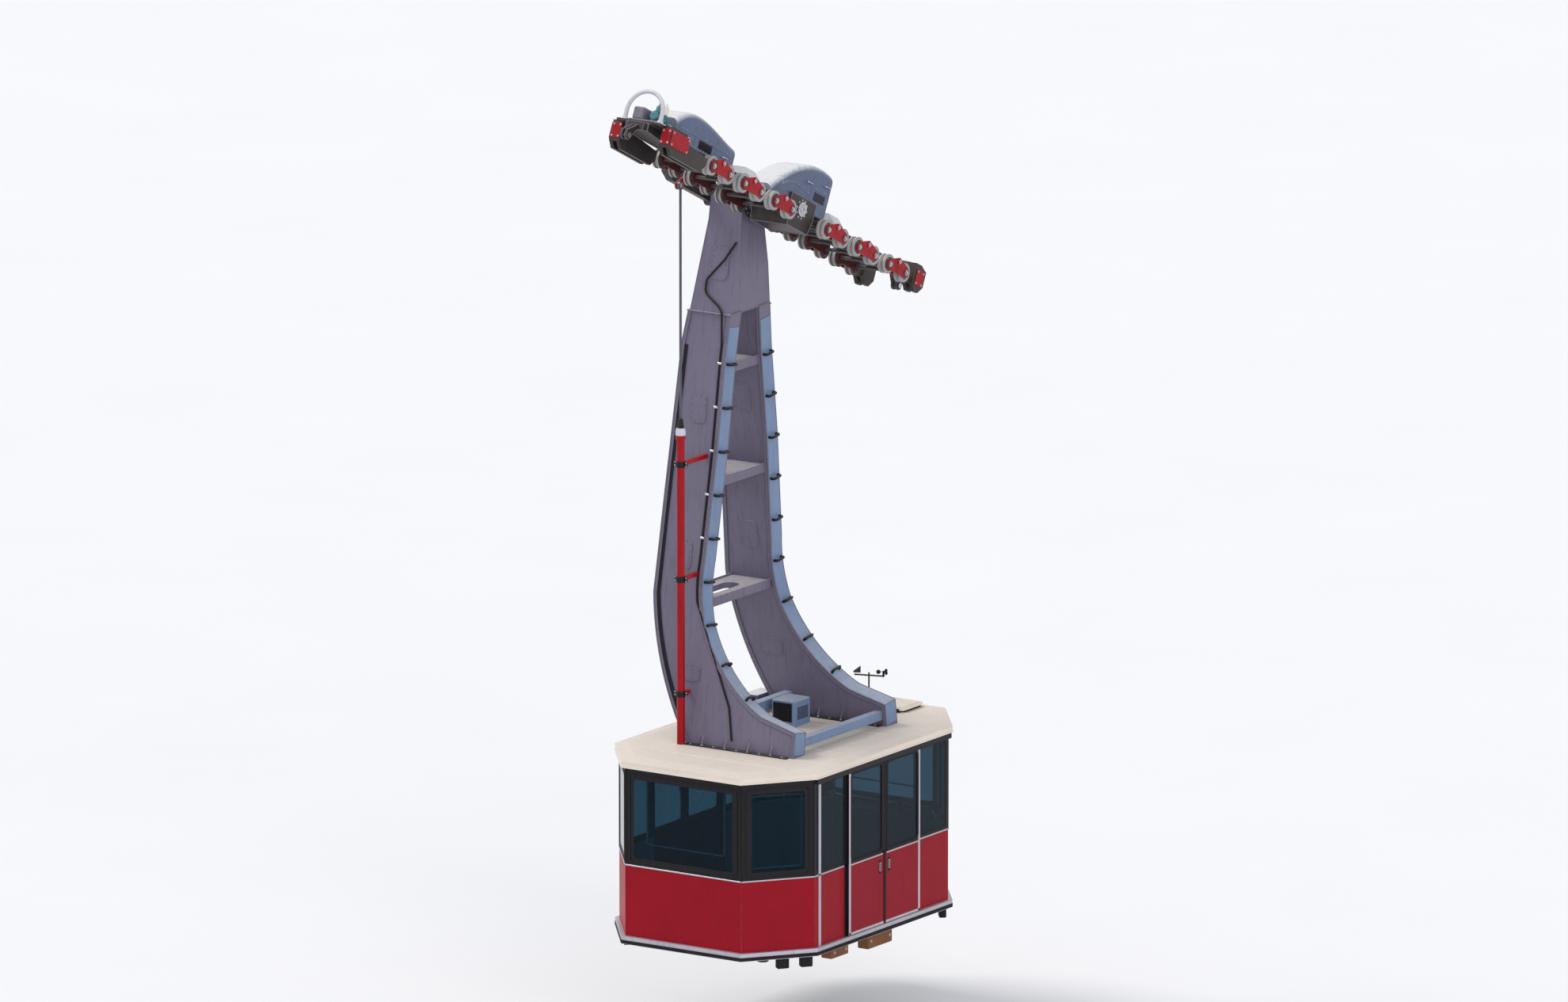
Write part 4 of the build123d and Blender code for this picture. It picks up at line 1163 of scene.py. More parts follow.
# %% Power unit
deck_w = 0.3403
motor_u = -3.70
motor_y = -0.12
motor_w = deck_w + 0.125
tank = [
    (deck_place(motor_u, 0.0, deck_w + 0.02), block(0.40, 0.46, 0.04, 0.006)),
    (deck_place(motor_u - 0.02, 0.12, deck_w + 0.13), block(0.30, 0.17, 0.18, 0.02)),
    (deck_place(motor_u - 0.02, 0.12, deck_w + 0.225), block(0.06, 0.06, 0.012, 0.003)),
]
build("power_unit_tank", tank, "grey_paint", carriage)
motor_rows = [
    (0.0, -0.15), (0.05, -0.15), (0.066, -0.14), (0.066, 0.1), (0.05, 0.105), (0.05, 0.15), (0.0, 0.15),
]
flange_rows = [(0.0, 0.0), (0.082, 0.0), (0.082, 0.014), (0.0, 0.014)]
motor = [
    (facing(on_deck(motor_u + shift, motor_y, motor_w), along), turned(rows))
    for shift, rows in ((0.0, motor_rows), (0.1, flange_rows))
]
for shift in (-0.1, 0.08):
    motor.append((deck_place(motor_u + shift, motor_y, deck_w + 0.055), block(0.03, 0.12, 0.04, 0.004)))
build("power_unit_motor", motor, "teal_enamel", carriage)
fins = []
for angle in evenly(math.pi / 24, math.pi * 23 / 24, 12):
    look = Matrix.Rotation(angle, 3, along) @ across
    fins.append((on_deck(motor_u - 0.025, motor_y, motor_w) + look * 0.068, look.cross(along), along))
ribs("power_unit_fins", fins, (0.2, 0.02, 0.004), 1, 0.01, "teal_enamel", carriage)
bottle = turned(
    [(0.0, 0.0), (0.03, 0.0), (0.043, 0.012), (0.043, 0.25), (0.034, 0.285), (0.014, 0.3), (0.014, 0.325),
     (0.0, 0.325)],
    20,
)
for name, y, finish in (("teal", 0.02, "teal_enamel"), ("white", -0.09, "cream_roof")):
    place = deck_place(motor_u + 0.16, y, deck_w + 0.04)
    build(f"pressure_bottle_{name}", [(place, bottle)], finish, carriage)
print("fins:", len(fins))

# %% Pipes and their clips
pipe_w = deck_w + 0.012
port_w = deck_w + 0.06
port_u = motor_u + 0.05
girder_pipe = (0.20, 0.30)
pipe_routes = [
    [(port_u, 0.24, port_w), (port_u, 0.30, port_w), (port_u, 0.30, pipe_w), (port_u, 0.40, pipe_w),
     (motor_u - 0.05, 0.42, pipe_w)],
    [(motor_u + 0.12, 0.22, deck_w + 0.02), (motor_u + 0.28, 0.22, deck_w + 0.02),
     (motor_u + 0.34, *girder_pipe), (2.78, *girder_pipe), (2.84, 0.24, pipe_w), (2.90, 0.36, pipe_w)],
]
pipes = [[on_deck(u, side * y, w) for u, y, w in route] for side in pair for route in pipe_routes]
bars("brake_pipes", pipes, 0.009, 0.03, "bright_steel", carriage, 8)
clip = block(0.028, 0.03, 0.03, 0.004)
clips = [(deck_place(u, side * 0.194, girder_pipe[1]), clip) for side in pair for u in evenly(-3.0, 2.46, 14)]
build("pipe_clips", clips, "dark_steel", carriage)
print("pipes:", len(pipes), "clips:", len(clips))

# %% [markdown]
# The brakes at both ends have red side plates, bolted on. The yokes stand on flanges that are bolted
# to the girder. Every bolt here is a point with a direction, and one list holds them all, because
# they ride on one body.

# %% Brake plates
brake_face = 0.485
brake_table = [(-3.62, 0.46, 0.19, 0.22), (2.975, 0.2, 0.16, 0.22)]    # u, length, w, height
plates = []
frame_bolts = []
for u, length, w, height in brake_table:
    for side in pair:
        place = facing(on_deck(u, side * (brake_face + 0.006), w), across * side, along)
        plates.append((place, block(length, height, 0.012, 0.003)))
        for a, b in rectangle(length / 2 - 0.03, height / 2 - 0.03):
            point = on_deck(u + a, side * (brake_face + 0.0125), w + b)
            frame_bolts.append((point, across * side, 0.011))
for side in pair:
    plates.append((deck_place(-3.856, side * roller_y, 0.2), block(0.012, 0.15, 0.22, 0.003)))
    for a, b in rectangle(0.05, 0.08):
        frame_bolts.append((on_deck(-3.862, side * roller_y + a, 0.2 + b), -along, 0.01))
build("rope_brake_side_plates", plates, "red_steel", carriage)
print("brake plates:", len(plates))

# %% Yoke flanges and pin bolts
yoke_u = abs(rocker_us[0] - rocker_us[1]) / 2 + abs(rocker_us[2])
spine_top = 0.31
beam_top = 0.35
foot_table = [(0.0, spine_top, 0.35, (-0.13, 0.0, 0.13)), (1.185, beam_top, 0.11, (1.155, 1.215))]
gusset = plate([(0.0, 0.0), (0.09, 0.0), (0.0, -0.1)], 0.012)
flanges = []
for u in (-yoke_u, yoke_u):
    for side in pair:
        edge = u + side * 0.17
        for y, top, width, bolt_ys in foot_table:
            flanges.append((deck_place(edge, y, top + 0.008), block(0.08, width, 0.016, 0.003)))
            for bolt_y in bolt_ys:
                frame_bolts.append((on_deck(edge + side * 0.008, bolt_y, top + 0.016), upright, 0.014))
        for y in (0.62, 0.9):
            place = facing(on_deck(u + side * 0.13, y, spine_top), -across * side, along * side)
            flanges.append((place, gusset))
build("yoke_flanges", flanges, "light_cover", carriage)
pin_low, pin_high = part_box("hanger_pin")
pin_x, _, pin_z = centre("hanger_pin")
pin_face = Vector((pin_x, pin_low.y, pin_z))
frame_bolts += ring_rows(pin_face, -across, 0.072, 6, 0.012)
frame_bolts += ring_rows(pin_face + across * 0.0135, -across, 0.125, 10, 0.01)
frame_bolts += ring_rows(Vector((pin_x, pin_high.y, pin_z)), across, 0.072, 6, 0.012)
bolts("carriage_bolts", frame_bolts, body=carriage)
print("bolts on the carriage frame:", len(frame_bolts))

# %% Clevis pins, hoop feet and welds
clevis_pin = turned(
    [(0.0, -0.066), (0.038, -0.066), (0.038, -0.052), (0.0245, -0.05), (0.0245, 0.05), (0.03, 0.052),
     (0.03, 0.066), (0.0, 0.066)],
    20,
)
clevis_us = (-4.21, 3.21)
clevis_w = 0.075
pins = [(facing(on_deck(u, 0.0, clevis_w), across), clevis_pin) for u in clevis_us]
pins.append((facing(pin_face + across * 0.001, -across), collar(0.03, 0.05, 0.0, 0.01, 32)))
build("clevis_pins", pins, "bright_steel", carriage)
hoop_u = -3.90
hoop_y = 0.285
foot_collar = turned([(0.031, 0.0), (0.048, 0.0), (0.04, 0.035), (0.031, 0.04)])
feet = [(deck_place(hoop_u, side * hoop_y, deck_w + 0.012), foot_collar) for side in pair]
hoop_bolts = [
    (on_deck(hoop_u + a, side * hoop_y + b, deck_w + 0.0125), upright, 0.009)
    for side in pair for a, b in rectangle(0.045, 0.045)
]
build("hoop_foot_collars", feet, "light_cover", carriage)
bolts("hoop_foot_bolts", hoop_bolts, body=carriage)
weld_beads("girder_welds", "spine_beam", 0.006, carriage)
weld_beads("clevis_welds", "haul_rope_clevises", 0.004, carriage)
print("hoop foot bolts:", len(hoop_bolts))

# %% [markdown]
# ## The hanger
# Two C-shaped box girders lean together and meet in the head. Places on an arm are given across
# (along Y), up the leaning arm from the roof, and outwards from its middle plane. The lean follows
# from how far the feet and the head's arms stand apart.

# %% Places on the arms
foot_spread = 1.16
head_spread = 0.185
hub_radius = 0.23
hub_low_y = 0.52
head_drop = 1.49
arm_half = 0.13
web_out = 0.114
arm_rise = pin_z - hub_radius - roof_top
arm_lean = math.atan2(foot_spread - head_spread, arm_rise)


def arm_axes(end):
    """Up the arm and outwards from it, for the front arm (-1) or the rear arm (1)."""
    up = Vector((-end * math.sin(arm_lean), 0.0, math.cos(arm_lean)))
    out = Vector((end * math.cos(arm_lean), 0.0, math.sin(arm_lean)))
    return up, out


def on_arm(end, y, height, out):
    """A point on an arm: across, up the lean from the roof, and out from its middle plane."""
    up, outward = arm_axes(end)
    return Vector((hang_x + end * foot_spread, y, roof_top)) + up * height + outward * out


def arm_place(end, y, height, out):
    """A place on an arm: X across, Y up the arm, Z outwards (the front arm's is mirrored)."""
    return placed(on_arm(end, y, height, out), across, *arm_axes(end))


def arc_through(first, middle, last, steps):
    """Points of the circle through three points, from the first to the last."""
    (ax, ay), (bx, by), (cx, cy) = first, middle, last
    twice_area = 2 * (ax * (by - cy) + bx * (cy - ay) + cx * (ay - by))
    a2, b2, c2 = ax * ax + ay * ay, bx * bx + by * by, cx * cx + cy * cy
    ox = (a2 * (by - cy) + b2 * (cy - ay) + c2 * (ay - by)) / twice_area
    oy = (a2 * (cx - bx) + b2 * (ax - cx) + c2 * (bx - ax)) / twice_area
    radius = math.hypot(ax - ox, ay - oy)
    start, through, stop = (math.atan2(y - oy, x - ox) for x, y in (first, middle, last))
    sweep = (stop - start) % (2 * math.pi)
    if (through - start) % (2 * math.pi) > sweep:
        sweep -= 2 * math.pi
    angles = evenly(start, start + sweep, steps + 1)
    return [(ox + radius * math.cos(angle), oy + radius * math.sin(angle)) for angle in angles]


mouth = arc_through((-0.43, 0.48), (0.23, 1.01), (0.60, 1.64), 16)
mouth += arc_through((0.60, 1.64), (0.668, 2.0), (0.665, 2.5), 6)[1:]
mouth += [(0.60, 4.0), (0.582, 5.3), (0.56, 5.7)]
print("lean of the arms in degrees:", round(math.degrees(arm_lean), 2), "mouth points:", len(mouth))

# %% [markdown]
# The arms are welded from plate: broad flanges with a web set back between them. The beads are found
# by a rule, not drawn. Inspection covers close the hand holes in the webs, and each is a rounded plate
# with a ring of screws.

# %% Arm welds and inspection covers
for name in ("front", "rear"):
    weld_beads(f"{name}_arm_welds", f"hanger_arm_{name}", 0.008)
cover_table = [(0.80, 0.95, 0.36, 0.24), (1.02, 2.55, 0.26, 0.40), (0.96, 4.55, 0.26, 0.40)]
cover_thickness = 0.01


def screws_round(place, width, height, radius, count, level, look):
    """Screws at equal steps round a rounded outline, at a level over its place."""
    outline = spaced(rounded_outline(width, height, radius), count)
    return [(place @ Vector((a, b, level)), look, 0.009) for a, b in outline]


covers = []
cover_screws = []
for end in pair:
    outward = arm_axes(end)[1]
    for y, height, wide, tall in cover_table:
        for sign in pair:
            place = arm_place(end, y, height, sign * web_out)
            level = sign * cover_thickness
            covers.append((place, plate(rounded_outline(wide, tall, 0.07), level)))
            cover_screws += screws_round(place, wide - 0.05, tall - 0.05, 0.05, 12, level, outward * sign)
build("arm_inspection_covers", covers, "grey_paint")
bolts("arm_cover_screws", cover_screws, "grey_paint")
print("cover screws:", len(cover_screws))

# %% Flange strips of painted skylight and a strip of painted shade
def swept_strip(end, path, out_low, out_high, low, high):
    """A flat strip along a path on an arm: its edges across the arm, and its depth off the path."""
    points = []
    for number, (y, height) in enumerate(path):
        before = path[max(number - 1, 0)]
        after = path[min(number + 1, len(path) - 1)]
        run = Vector((after[0] - before[0], after[1] - before[1])).normalized()
        for out, off in ((out_low, low), (out_high, low), (out_high, high), (out_low, high)):
            points.append(on_arm(end, y - run.y * off, height + run.x * off, out))
    caps = [[0, 1, 2, 3], [len(points) - 4 + corner for corner in range(4)]]
    return points, caps + ring_faces(len(path), 4, False)


# The inner flange strips are painted skylight along the mouth of each arm.
inner_path = [(-1.0, 0.03), (-1.0, 0.33)] + mouth
strips = [(here, swept_strip(end, inner_path, -0.118, 0.118, 0.0, 0.005)) for end in pair]
build("inner_flange_strips", strips, "painted_skylight")
# A black strip along the front arm's outer flange paints the shade on the web beside it.
outer_path = arc_through((0.79, 0.06), (1.19, 0.85), (1.455, 1.98), 10)[1:]
outer_path += arc_through((1.455, 1.98), (1.425, 2.9), (1.385, 3.8), 6)[1:]
outer_path += [(1.305, 5.4)]
shade_strip = swept_strip(-1, outer_path, web_out - 0.004, web_out + 0.012, 0.035, 0.1)
build("outer_edge_shade_strip", [(here, shade_strip)], "black_frame")
print("strip stations:", len(inner_path), "duct stations:", len(outer_path))

# %% [markdown]
# Climbing lugs stand on the inner flange, at equal steps up the arm: a bent bar on two short posts,
# painted black. They stand square to the flange, so each takes its direction from the path there.

# %% Climbing lugs
def along_path(path, spacing, start=0.0):
    """Points and directions at equal steps along a path of 2-D points."""
    found = []
    left = start
    for (ax, ay), (bx, by) in zip(path, path[1:]):
        length = math.hypot(bx - ax, by - ay)
        run = ((bx - ax) / length, (by - ay) / length)
        while left <= length:
            found.append(((ax + run[0] * left, ay + run[1] * left), run))
            left += spacing
        left -= length
    return found


lugs = []
for end in pair:
    up = arm_axes(end)[0]
    for (y, height), (run_y, run_up) in along_path(mouth, 0.6, 0.35):
        look = (up * run_y - across * run_up) * 0.065
        low, high = (on_arm(end, y, height, side * 0.085) for side in pair)
        lugs.append([low, low + look, high + look, high])
bars("climbing_lugs", lugs, 0.02, 0.03, "black_frame", sides=8)
print("climbing lugs:", len(lugs))

# %% [markdown]
# The arms stand on the roof on base strips with gussets and are bolted through it; the strips are black
# and paint the shadow line under each foot. Where they enter the head there is a bolted joint, which
# shows as a dark line with bolts above it.

# %% Foot strips and neck joint
foot_from, foot_to = -0.93, 0.72
strip_top = roof_top + 0.016
foot_strip = block(0.09, foot_to - foot_from, 0.016, 0.003)
gusset = plate([(0.0, 0.0), (0.075, 0.0), (0.0, 0.12)], 0.012)
strips = []
gussets = []
foot_bolts = []
for end in pair:
    for side in pair:
        x = hang_x + end * foot_spread + side * (arm_half + 0.045)
        strips.append((at(x, (foot_from + foot_to) / 2, roof_top + 0.008), foot_strip))
        for step, y in enumerate(evenly(foot_from + 0.08, foot_to - 0.08, 9)):
            foot_bolts.append((Vector((x + side * 0.012, y, strip_top)), plumb, 0.014))
            if step % 2:
                root = (x - side * 0.045, y, strip_top)
                gussets.append((placed(root, ahead * side, plumb, across), gusset))
# The base strips are black, so they paint the dark shadow line where each arm's foot meets the roof.
build("arm_base_strips", strips, "black_frame")
build("arm_base_gussets", gussets, "grey_paint")
bolts("arm_base_bolts", foot_bolts)
neck_z = pin_z - head_drop
neck_x = foot_spread - (neck_z - roof_top) * math.tan(arm_lean)
joints = []
joint_bolts = []
for end in pair:
    x = hang_x + end * neck_x
    joints.append((at(x, 0.892, neck_z + 0.004), block(0.29, 0.72, 0.022, 0.004)))
    for side in pair:
        for y in evenly(0.58, 1.2, 6):
            joint_bolts.append((Vector((x + side * 0.132, y, neck_z + 0.0148)), plumb, 0.011))
build("neck_joint_plates", joints, "grey_paint")
bolts("neck_joint_bolts", joint_bolts)
print("base bolts:", len(foot_bolts), "neck bolts:", len(joint_bolts))

# %% [markdown]
# The head carries the hub on the pin. The hub has a dark bolted ring on the face that shows, and the
# head has a manhole in its front and its back. A cable for the cabin's supply comes down the front of
# the head and then along the inner edge of the front arm, held by clips.

# %% Hub ring and manholes
head_low, head_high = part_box("hanger_head")
face_lean = math.atan2((head_high.x - head_low.x) / 2 - hub_radius, head_drop - 0.02)


def head_face(end, y, drop, out):
    """A point on the sloping front or back of the head, below the pin by a drop."""
    look = Vector((end * math.cos(face_lean), 0.0, math.sin(face_lean)))
    x = hub_radius * math.cos(face_lean) + (drop + hub_radius * math.sin(face_lean)) * math.tan(face_lean)
    return Vector((hang_x + end * x, y, pin_z - drop)) + look * out


seal_thickness = 0.012
lid_thickness = 0.014
manhole_y = 0.80
manhole_drop = 0.80
hub_face = Vector((pin_x, hub_low_y, pin_z))
seal = collar(0.115, 0.205, 0.0, seal_thickness, 40)
build("hub_seal_ring", [(facing(hub_face, -across), seal)], "dark_steel")
manholes = []
manhole_bolts = []
for end in pair:
    look = Vector((end * math.cos(face_lean), 0.0, math.sin(face_lean)))
    down = Vector((end * math.sin(face_lean), 0.0, -math.cos(face_lean)))
    place = facing(head_face(end, manhole_y, manhole_drop, -0.002), look, down)
    manholes.append((place, plate(rounded_outline(0.46, 0.30, 0.09), lid_thickness)))
    manhole_bolts += screws_round(place, 0.40, 0.24, 0.06, 16, lid_thickness, look)
build("head_manholes", manholes, "grey_paint")
bolts("manhole_bolts", manhole_bolts, "grey_paint")
bolts("head_bolts", ring_rows(hub_face - across * seal_thickness, -across, 0.17, 14, 0.011))
weld_beads("head_welds", "hanger_head", 0.006)
print("manhole bolts:", len(manhole_bolts))

# %% Supply cable with clips
cable_out = web_out + 0.012
cable_in = 0.085
head_route = [(0.55, 0.50), (0.72, 0.76), (0.97, 1.04), (0.98, 1.22), (0.74, 1.38)]    # y, drop
cable = [head_face(-1, y, drop, 0.018) for y, drop in head_route]
cable += [head_face(-1, 0.67, 1.46, 0.030), on_arm(-1, 0.66, 5.60, 0.142), on_arm(-1, 0.66, 5.45, cable_out)]
cable += [on_arm(-1, y + cable_in, height, cable_out) for y, height in reversed(mouth[18:-1])]
cable += [on_arm(-1, 0.10, 0.55, cable_out), on_arm(-1, 0.02, 0.10, cable_out)]
bars("supply_cable", [cable], 0.014, 0.12, "black_rubber", sides=8)
knee_y, knee_height = mouth[-3]
lean_below = -0.0433
lean_above = -0.0138
clips = []
for height in (5.2, 4.6, 4.0, 3.4, 2.8):
    lean = lean_below if height < knee_height else lean_above
    inner = knee_y + (height - knee_height) * lean
    clips.append((arm_place(-1, inner + cable_in, height, cable_out), block(0.06, 0.03, 0.034, 0.004)))
build("supply_cable_clips", clips, "bright_steel")
print("cable clips:", len(clips))

# %% [markdown]
# The swing damper stands in front of the hanger: a red tube, a bright rod and a lug on the carriage.
# Clamps hold the tube on its stays, and a ribbed rubber boot keeps dust off the rod. The boot is
# turned from a zigzag of radii, with a smooth shading that makes its folds round.

# %% Damper fittings
tube_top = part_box("damper_tube")[1].z
rod_low, rod_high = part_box("damper_rod")
damper_x, damper_y, _ = centre("damper_rod")
clamp_heights = (0.7, 2.3, 3.9)
clamps = []
clamp_bolts = []
for height in clamp_heights:
    middle = Vector((damper_x, damper_y, roof_top + height))
    clamps.append((Matrix.Translation(middle), collar(0.0555, 0.066, -0.04, 0.04, 28)))
    for side in pair:
        clamps.append((Matrix.Translation(middle + across * side * 0.085), block(0.012, 0.05, 0.07, 0.003)))
        for rise in (-0.02, 0.02):
            clamp_bolts.append((middle + Vector((-0.006, side * 0.092, rise)), -ahead, 0.007))
build("damper_clamps", clamps, "black_frame")
bolts("damper_clamp_bolts", clamp_bolts)
cap_rise = 0.07
cap_rows = [(0.03, 0.0), (0.066, -0.03), (0.07, -0.03), (0.07, 0.02), (0.058, cap_rise), (0.03, cap_rise)]
build("damper_cap", [(at(damper_x, damper_y, tube_top), turned(cap_rows, 28))], "light_cover")
folds = 6
boot_rise = 0.13
rod_hole = 0.0215
profile = [(rod_hole, 0.0), (0.05, 0.0)]
for step in range(folds):
    width = 0.05 - 0.016 * step / folds
    profile += [(width, boot_rise * (step + 0.5) / folds), (width - 0.012, boot_rise * (step + 1) / folds)]
boot = turned(profile + [(rod_hole, boot_rise)])
build("damper_boot", [(at(damper_x, damper_y, tube_top + cap_rise), boot)], "black_rubber")
eye_drop = 0.06
lug_u = -1.426
lug_w = 0.072
eye_nut_radius = 0.03
rod_nut = (Vector((damper_x, rod_low.y, rod_high.z - eye_drop)), -across, eye_nut_radius)
lug_nut = (on_deck(lug_u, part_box("damper_bracket")[1].y, lug_w), across, eye_nut_radius)
bolts("damper_eye_bolt", [rod_nut], body="damper_rod")
bolts("damper_lug_bolt", [lug_nut], body=carriage)
print("boot folds:", folds)

# %% Tie edges and foot bar bolts
tie_table = [(5.065, 0.64, 1.25), (3.515, 0.67, 1.33), (1.845, 0.73, 1.37)]    # height, y of both edges
ties = []
for height, *edges in tie_table:
    inner_x = foot_spread - height * math.tan(arm_lean) - arm_half / math.cos(arm_lean) + 0.016
    ties += [(at(hang_x, y, roof_top + height), block(2 * inner_x, 0.014, 0.13, 0.003)) for y in edges]
build("tie_edge_plates", ties, "grey_paint")
foot_bar_table = [(0.585, 0.24), (-0.885, 0.15)]    # y, height over the roof
bar_bolts = []
for y, height in foot_bar_table:
    for end in pair:
        x = hang_x + end * (foot_spread - 0.17)
        for side in pair:
            for rise in (-0.035, 0.035):
                point = Vector((x, y + side * 0.066, roof_top + height + rise))
                bar_bolts.append((point, across * side, 0.01))
bolts("foot_bar_bolts", bar_bolts)
print("foot bar bolts:", len(bar_bolts))

# %% [markdown]
# ## The cabin from outside
# The shell is red below and a dark band of windows above, under a cream roof. What makes it look
# real is the thin trim between these: rubber round each pane, a grey moulding at the belt, light
# strips down the corners of the doors' walls, and a rubber strip in the bumper rail.

# %% Window rubbers, borders and inner frames
pane_low, pane_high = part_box("end_windows")
pane_height = pane_high.z - pane_low.z
pane_mid = (pane_high.z + pane_low.z) / 2
pane_radius = 0.06
pillar_total = 0.155
door_opening = 1.70
bay = half_side - door_opening / 2
bay_middle = (half_side + door_opening / 2) / 2


def rubber_ring(width, band, low, high):
    """The rubber round a pane, which it laps by 15 mm."""
    lap = 0.015
    return frame_ring(width - 2 * lap, pane_height - 2 * lap, pane_radius - lap, band, low, high)


rubbers = []
borders = []
inner_frames = []
for index in fixed_walls:
    width = wall_run(index)[2] - pillar_total
    rubbers.append((wall_place(index, 0.0, pane_mid, 0.0), rubber_ring(width, 0.034, -0.004, 0.011)))
    border = frame_ring(width - 0.13, pane_height - 0.13, 0.03, 0.055, 0.0, 0.0015)
    borders.append((wall_place(index, 0.0, pane_mid, 0.0), border))
    inset, rise = (0.5, 0.1) if index in end_walls else (0.2, 0.0)
    inner = frame_ring(width - inset, pane_height - 0.24 - rise, 0.03, 0.022, -0.008, 0.008)
    inner_frames.append((wall_place(index, 0.0, pane_mid + rise, -wall - 0.02), inner))
for index in side_walls:
    for hand in pair:
        place = wall_place(index, hand * bay_middle, pane_mid, 0.0)
        rubbers.append((place, rubber_ring(bay - 0.11, 0.03, -0.004, 0.0025)))
build("window_rubbers", rubbers, "black_rubber")
build("printed_glass_borders", borders, "black_frame")
build("inner_window_frames", inner_frames, "aluminium_trim")
print("window rubbers:", len(rubbers))

# %% Belt moulding, corner strips and door posts with a painted shadow
thin = 0.0025
track_low = rim_z - 0.075
leaf_reach = track_low - floor_z
leaf_level = (track_low + floor_z) / 2
moulding = []
strips = []
profiles = []
posts = []
for index in fixed_walls:
    length = wall_run(index)[2]
    moulding.append((wall_place(index, 0.0, belt_z + 0.01, 0.003), block(length - 0.004, 0.02, 0.01, 0.003)))
    for hand in pair:
        place = wall_place(index, hand * (length / 2 - 0.014), (rim_z + belt_z) / 2, 0.002)
        profiles.append((place, block(0.026, rim_z - belt_z, 0.008, 0.002)))
for index in side_walls:
    for hand in pair:
        place = wall_place(index, hand * bay_middle, belt_z + 0.01, thin / 2)
        moulding.append((place, block(bay - 0.004, 0.02, thin)))
        if hand * wall_run(index)[1].x < 0:
            place = wall_place(index, hand * (half_side - 0.12), leaf_level, thin / 2)
            strips.append((place, block(0.06, leaf_reach, thin)))
        # A black rubber post beside each door opening runs from the floor to the track; down the red band it
        # paints the shadow of the gap beside the proud door leaf.
        place = wall_place(index, hand * (door_opening / 2 + 0.045), leaf_level, thin / 2)
        posts.append((place, block(0.08, leaf_reach, thin)))
build("belt_moulding", moulding, "aluminium_trim")
build("wall_strips", strips, "aluminium_trim")
build("corner_profiles", profiles, "black_rubber")
build("door_posts", posts, "black_rubber")
print("mouldings:", len(moulding), "strips:", len(strips), "posts:", len(posts))

# %% [markdown]
# The bumper rail has a rubber strip along its lower half, and the roof has a drip rail along its rim
# and seams where its sheets meet. Both follow the eight-sided plan, moved out by the overhang.

# %% Rail rubber, drip rail and roof seams
overhang = roof_high.y - half_width


def plan_corner(index, out):
    """A corner of the cabin's plan, moved out from both of its walls."""
    before = wall_normal((index - 1) % len(corners))
    after = wall_normal(index)
    return corners[index] + (before + after) * (out / (1 + before.dot(after)))


def plan_band(low, high, thickness):
    """A closed band round the overhang: its foot and top levels and how far it stands out."""
    points = []
    for out, level in ((0.0, low), (thickness, low), (thickness, high), (0.0, high)):
        points += [plan_corner(index, overhang + out) + plumb * level for index in range(len(corners))]
    return points, ring_faces(4, len(corners), True)


band_table = [    # name, foot and top over a level, thickness, finish
    ("bumper_rubber", cabin_bottom, 0.008, 0.055, 0.008, "black_rubber"),
    ("bumper_cap_strip", cabin_bottom, 0.088, 0.102, 0.005, "aluminium_trim"),
    ("drip_rail", rim_z, 0.002, 0.02, 0.009, "cream_roof"),
    ("roof_edge_bead", rim_z, 0.074, 0.086, 0.005, "cream_roof"),
]
for name, level, low, high, thickness, finish in band_table:
    build(name, [(here, plan_band(level + low, level + high, thickness))], finish)
seam = block(0.03, 2.6, 0.008, 0.002)
seams = [(at(hang_x + x, 0.0, roof_top + 0.002), seam) for x in (-1.85, -0.62, 0.62, 1.85)]
build("roof_seams", seams, "cream_roof")
print("bands:", len(band_table), "roof seams:", len(seams))

# %% [markdown]
# A hatch lets the attendant climb out to the ladder lugs, a locker holds the rescue gear, a vent with
# slats feeds the heater, and a wind gauge tells when to stop. They are plates, blocks and turned
# shapes on the roof.

# %% Roof hatch, locker and vent
hatch = at(hang_x + 2.08, -0.45, roof_top)
build("roof_hatch_seal", [(hatch, plate(rounded_outline(0.50, 0.58, 0.06), 0.03))], "black_rubber")
lid = [
    (hatch @ at(0, 0, 0.03), plate(rounded_outline(0.54, 0.62, 0.06), 0.03)),
    (hatch @ at(0, 0, 0.06), plate(rounded_outline(0.46, 0.54, 0.05), 0.012)),
]
build("roof_hatch", lid, "cream_roof")
locker_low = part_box("roof_locker")[0]
locker = centre("roof_locker")
hinge = block(0.04, 0.09, 0.05, 0.006)
fittings = [(hatch @ at(-0.28, y, 0.03), hinge) for y in (-0.2, 0.2)]
fittings += [
    (at(locker_low.x - 0.002, locker.y, locker.z + 0.02), block(0.012, 0.30, 0.26, 0.004)),
    (at(locker_low.x - 0.012, locker.y - 0.1, locker.z + 0.02), block(0.016, 0.02, 0.09, 0.004)),
]
build("hatch_and_locker_fittings", fittings, "black_frame")
grille = [(Vector((locker.x, locker_low.y, locker.z)), -across, ahead)]
ribs("locker_louvres", grille, (0.26, 0.012, 0.008), 8, 0.022, "black_frame", tilt=0.5)
vent = Vector((hang_x + 0.98, 1.10, roof_top))
vent_outline = [(-0.16, 0.0), (0.16, 0.0), (0.16, 0.16), (0.06, 0.24), (-0.16, 0.24)]
vent_end = placed(vent - ahead * 0.22, across, plumb, ahead)
build("roof_vent", [(vent_end, plate(vent_outline, 0.44))], "silver_cover")
slats = [(vent + Vector((0.0, -0.16, 0.11)), -across, ahead)]
ribs("roof_vent_slats", slats, (0.38, 0.016, 0.014), 6, 0.032, "black_frame", tilt=0.5)
print("hatch and locker fittings:", len(fittings))

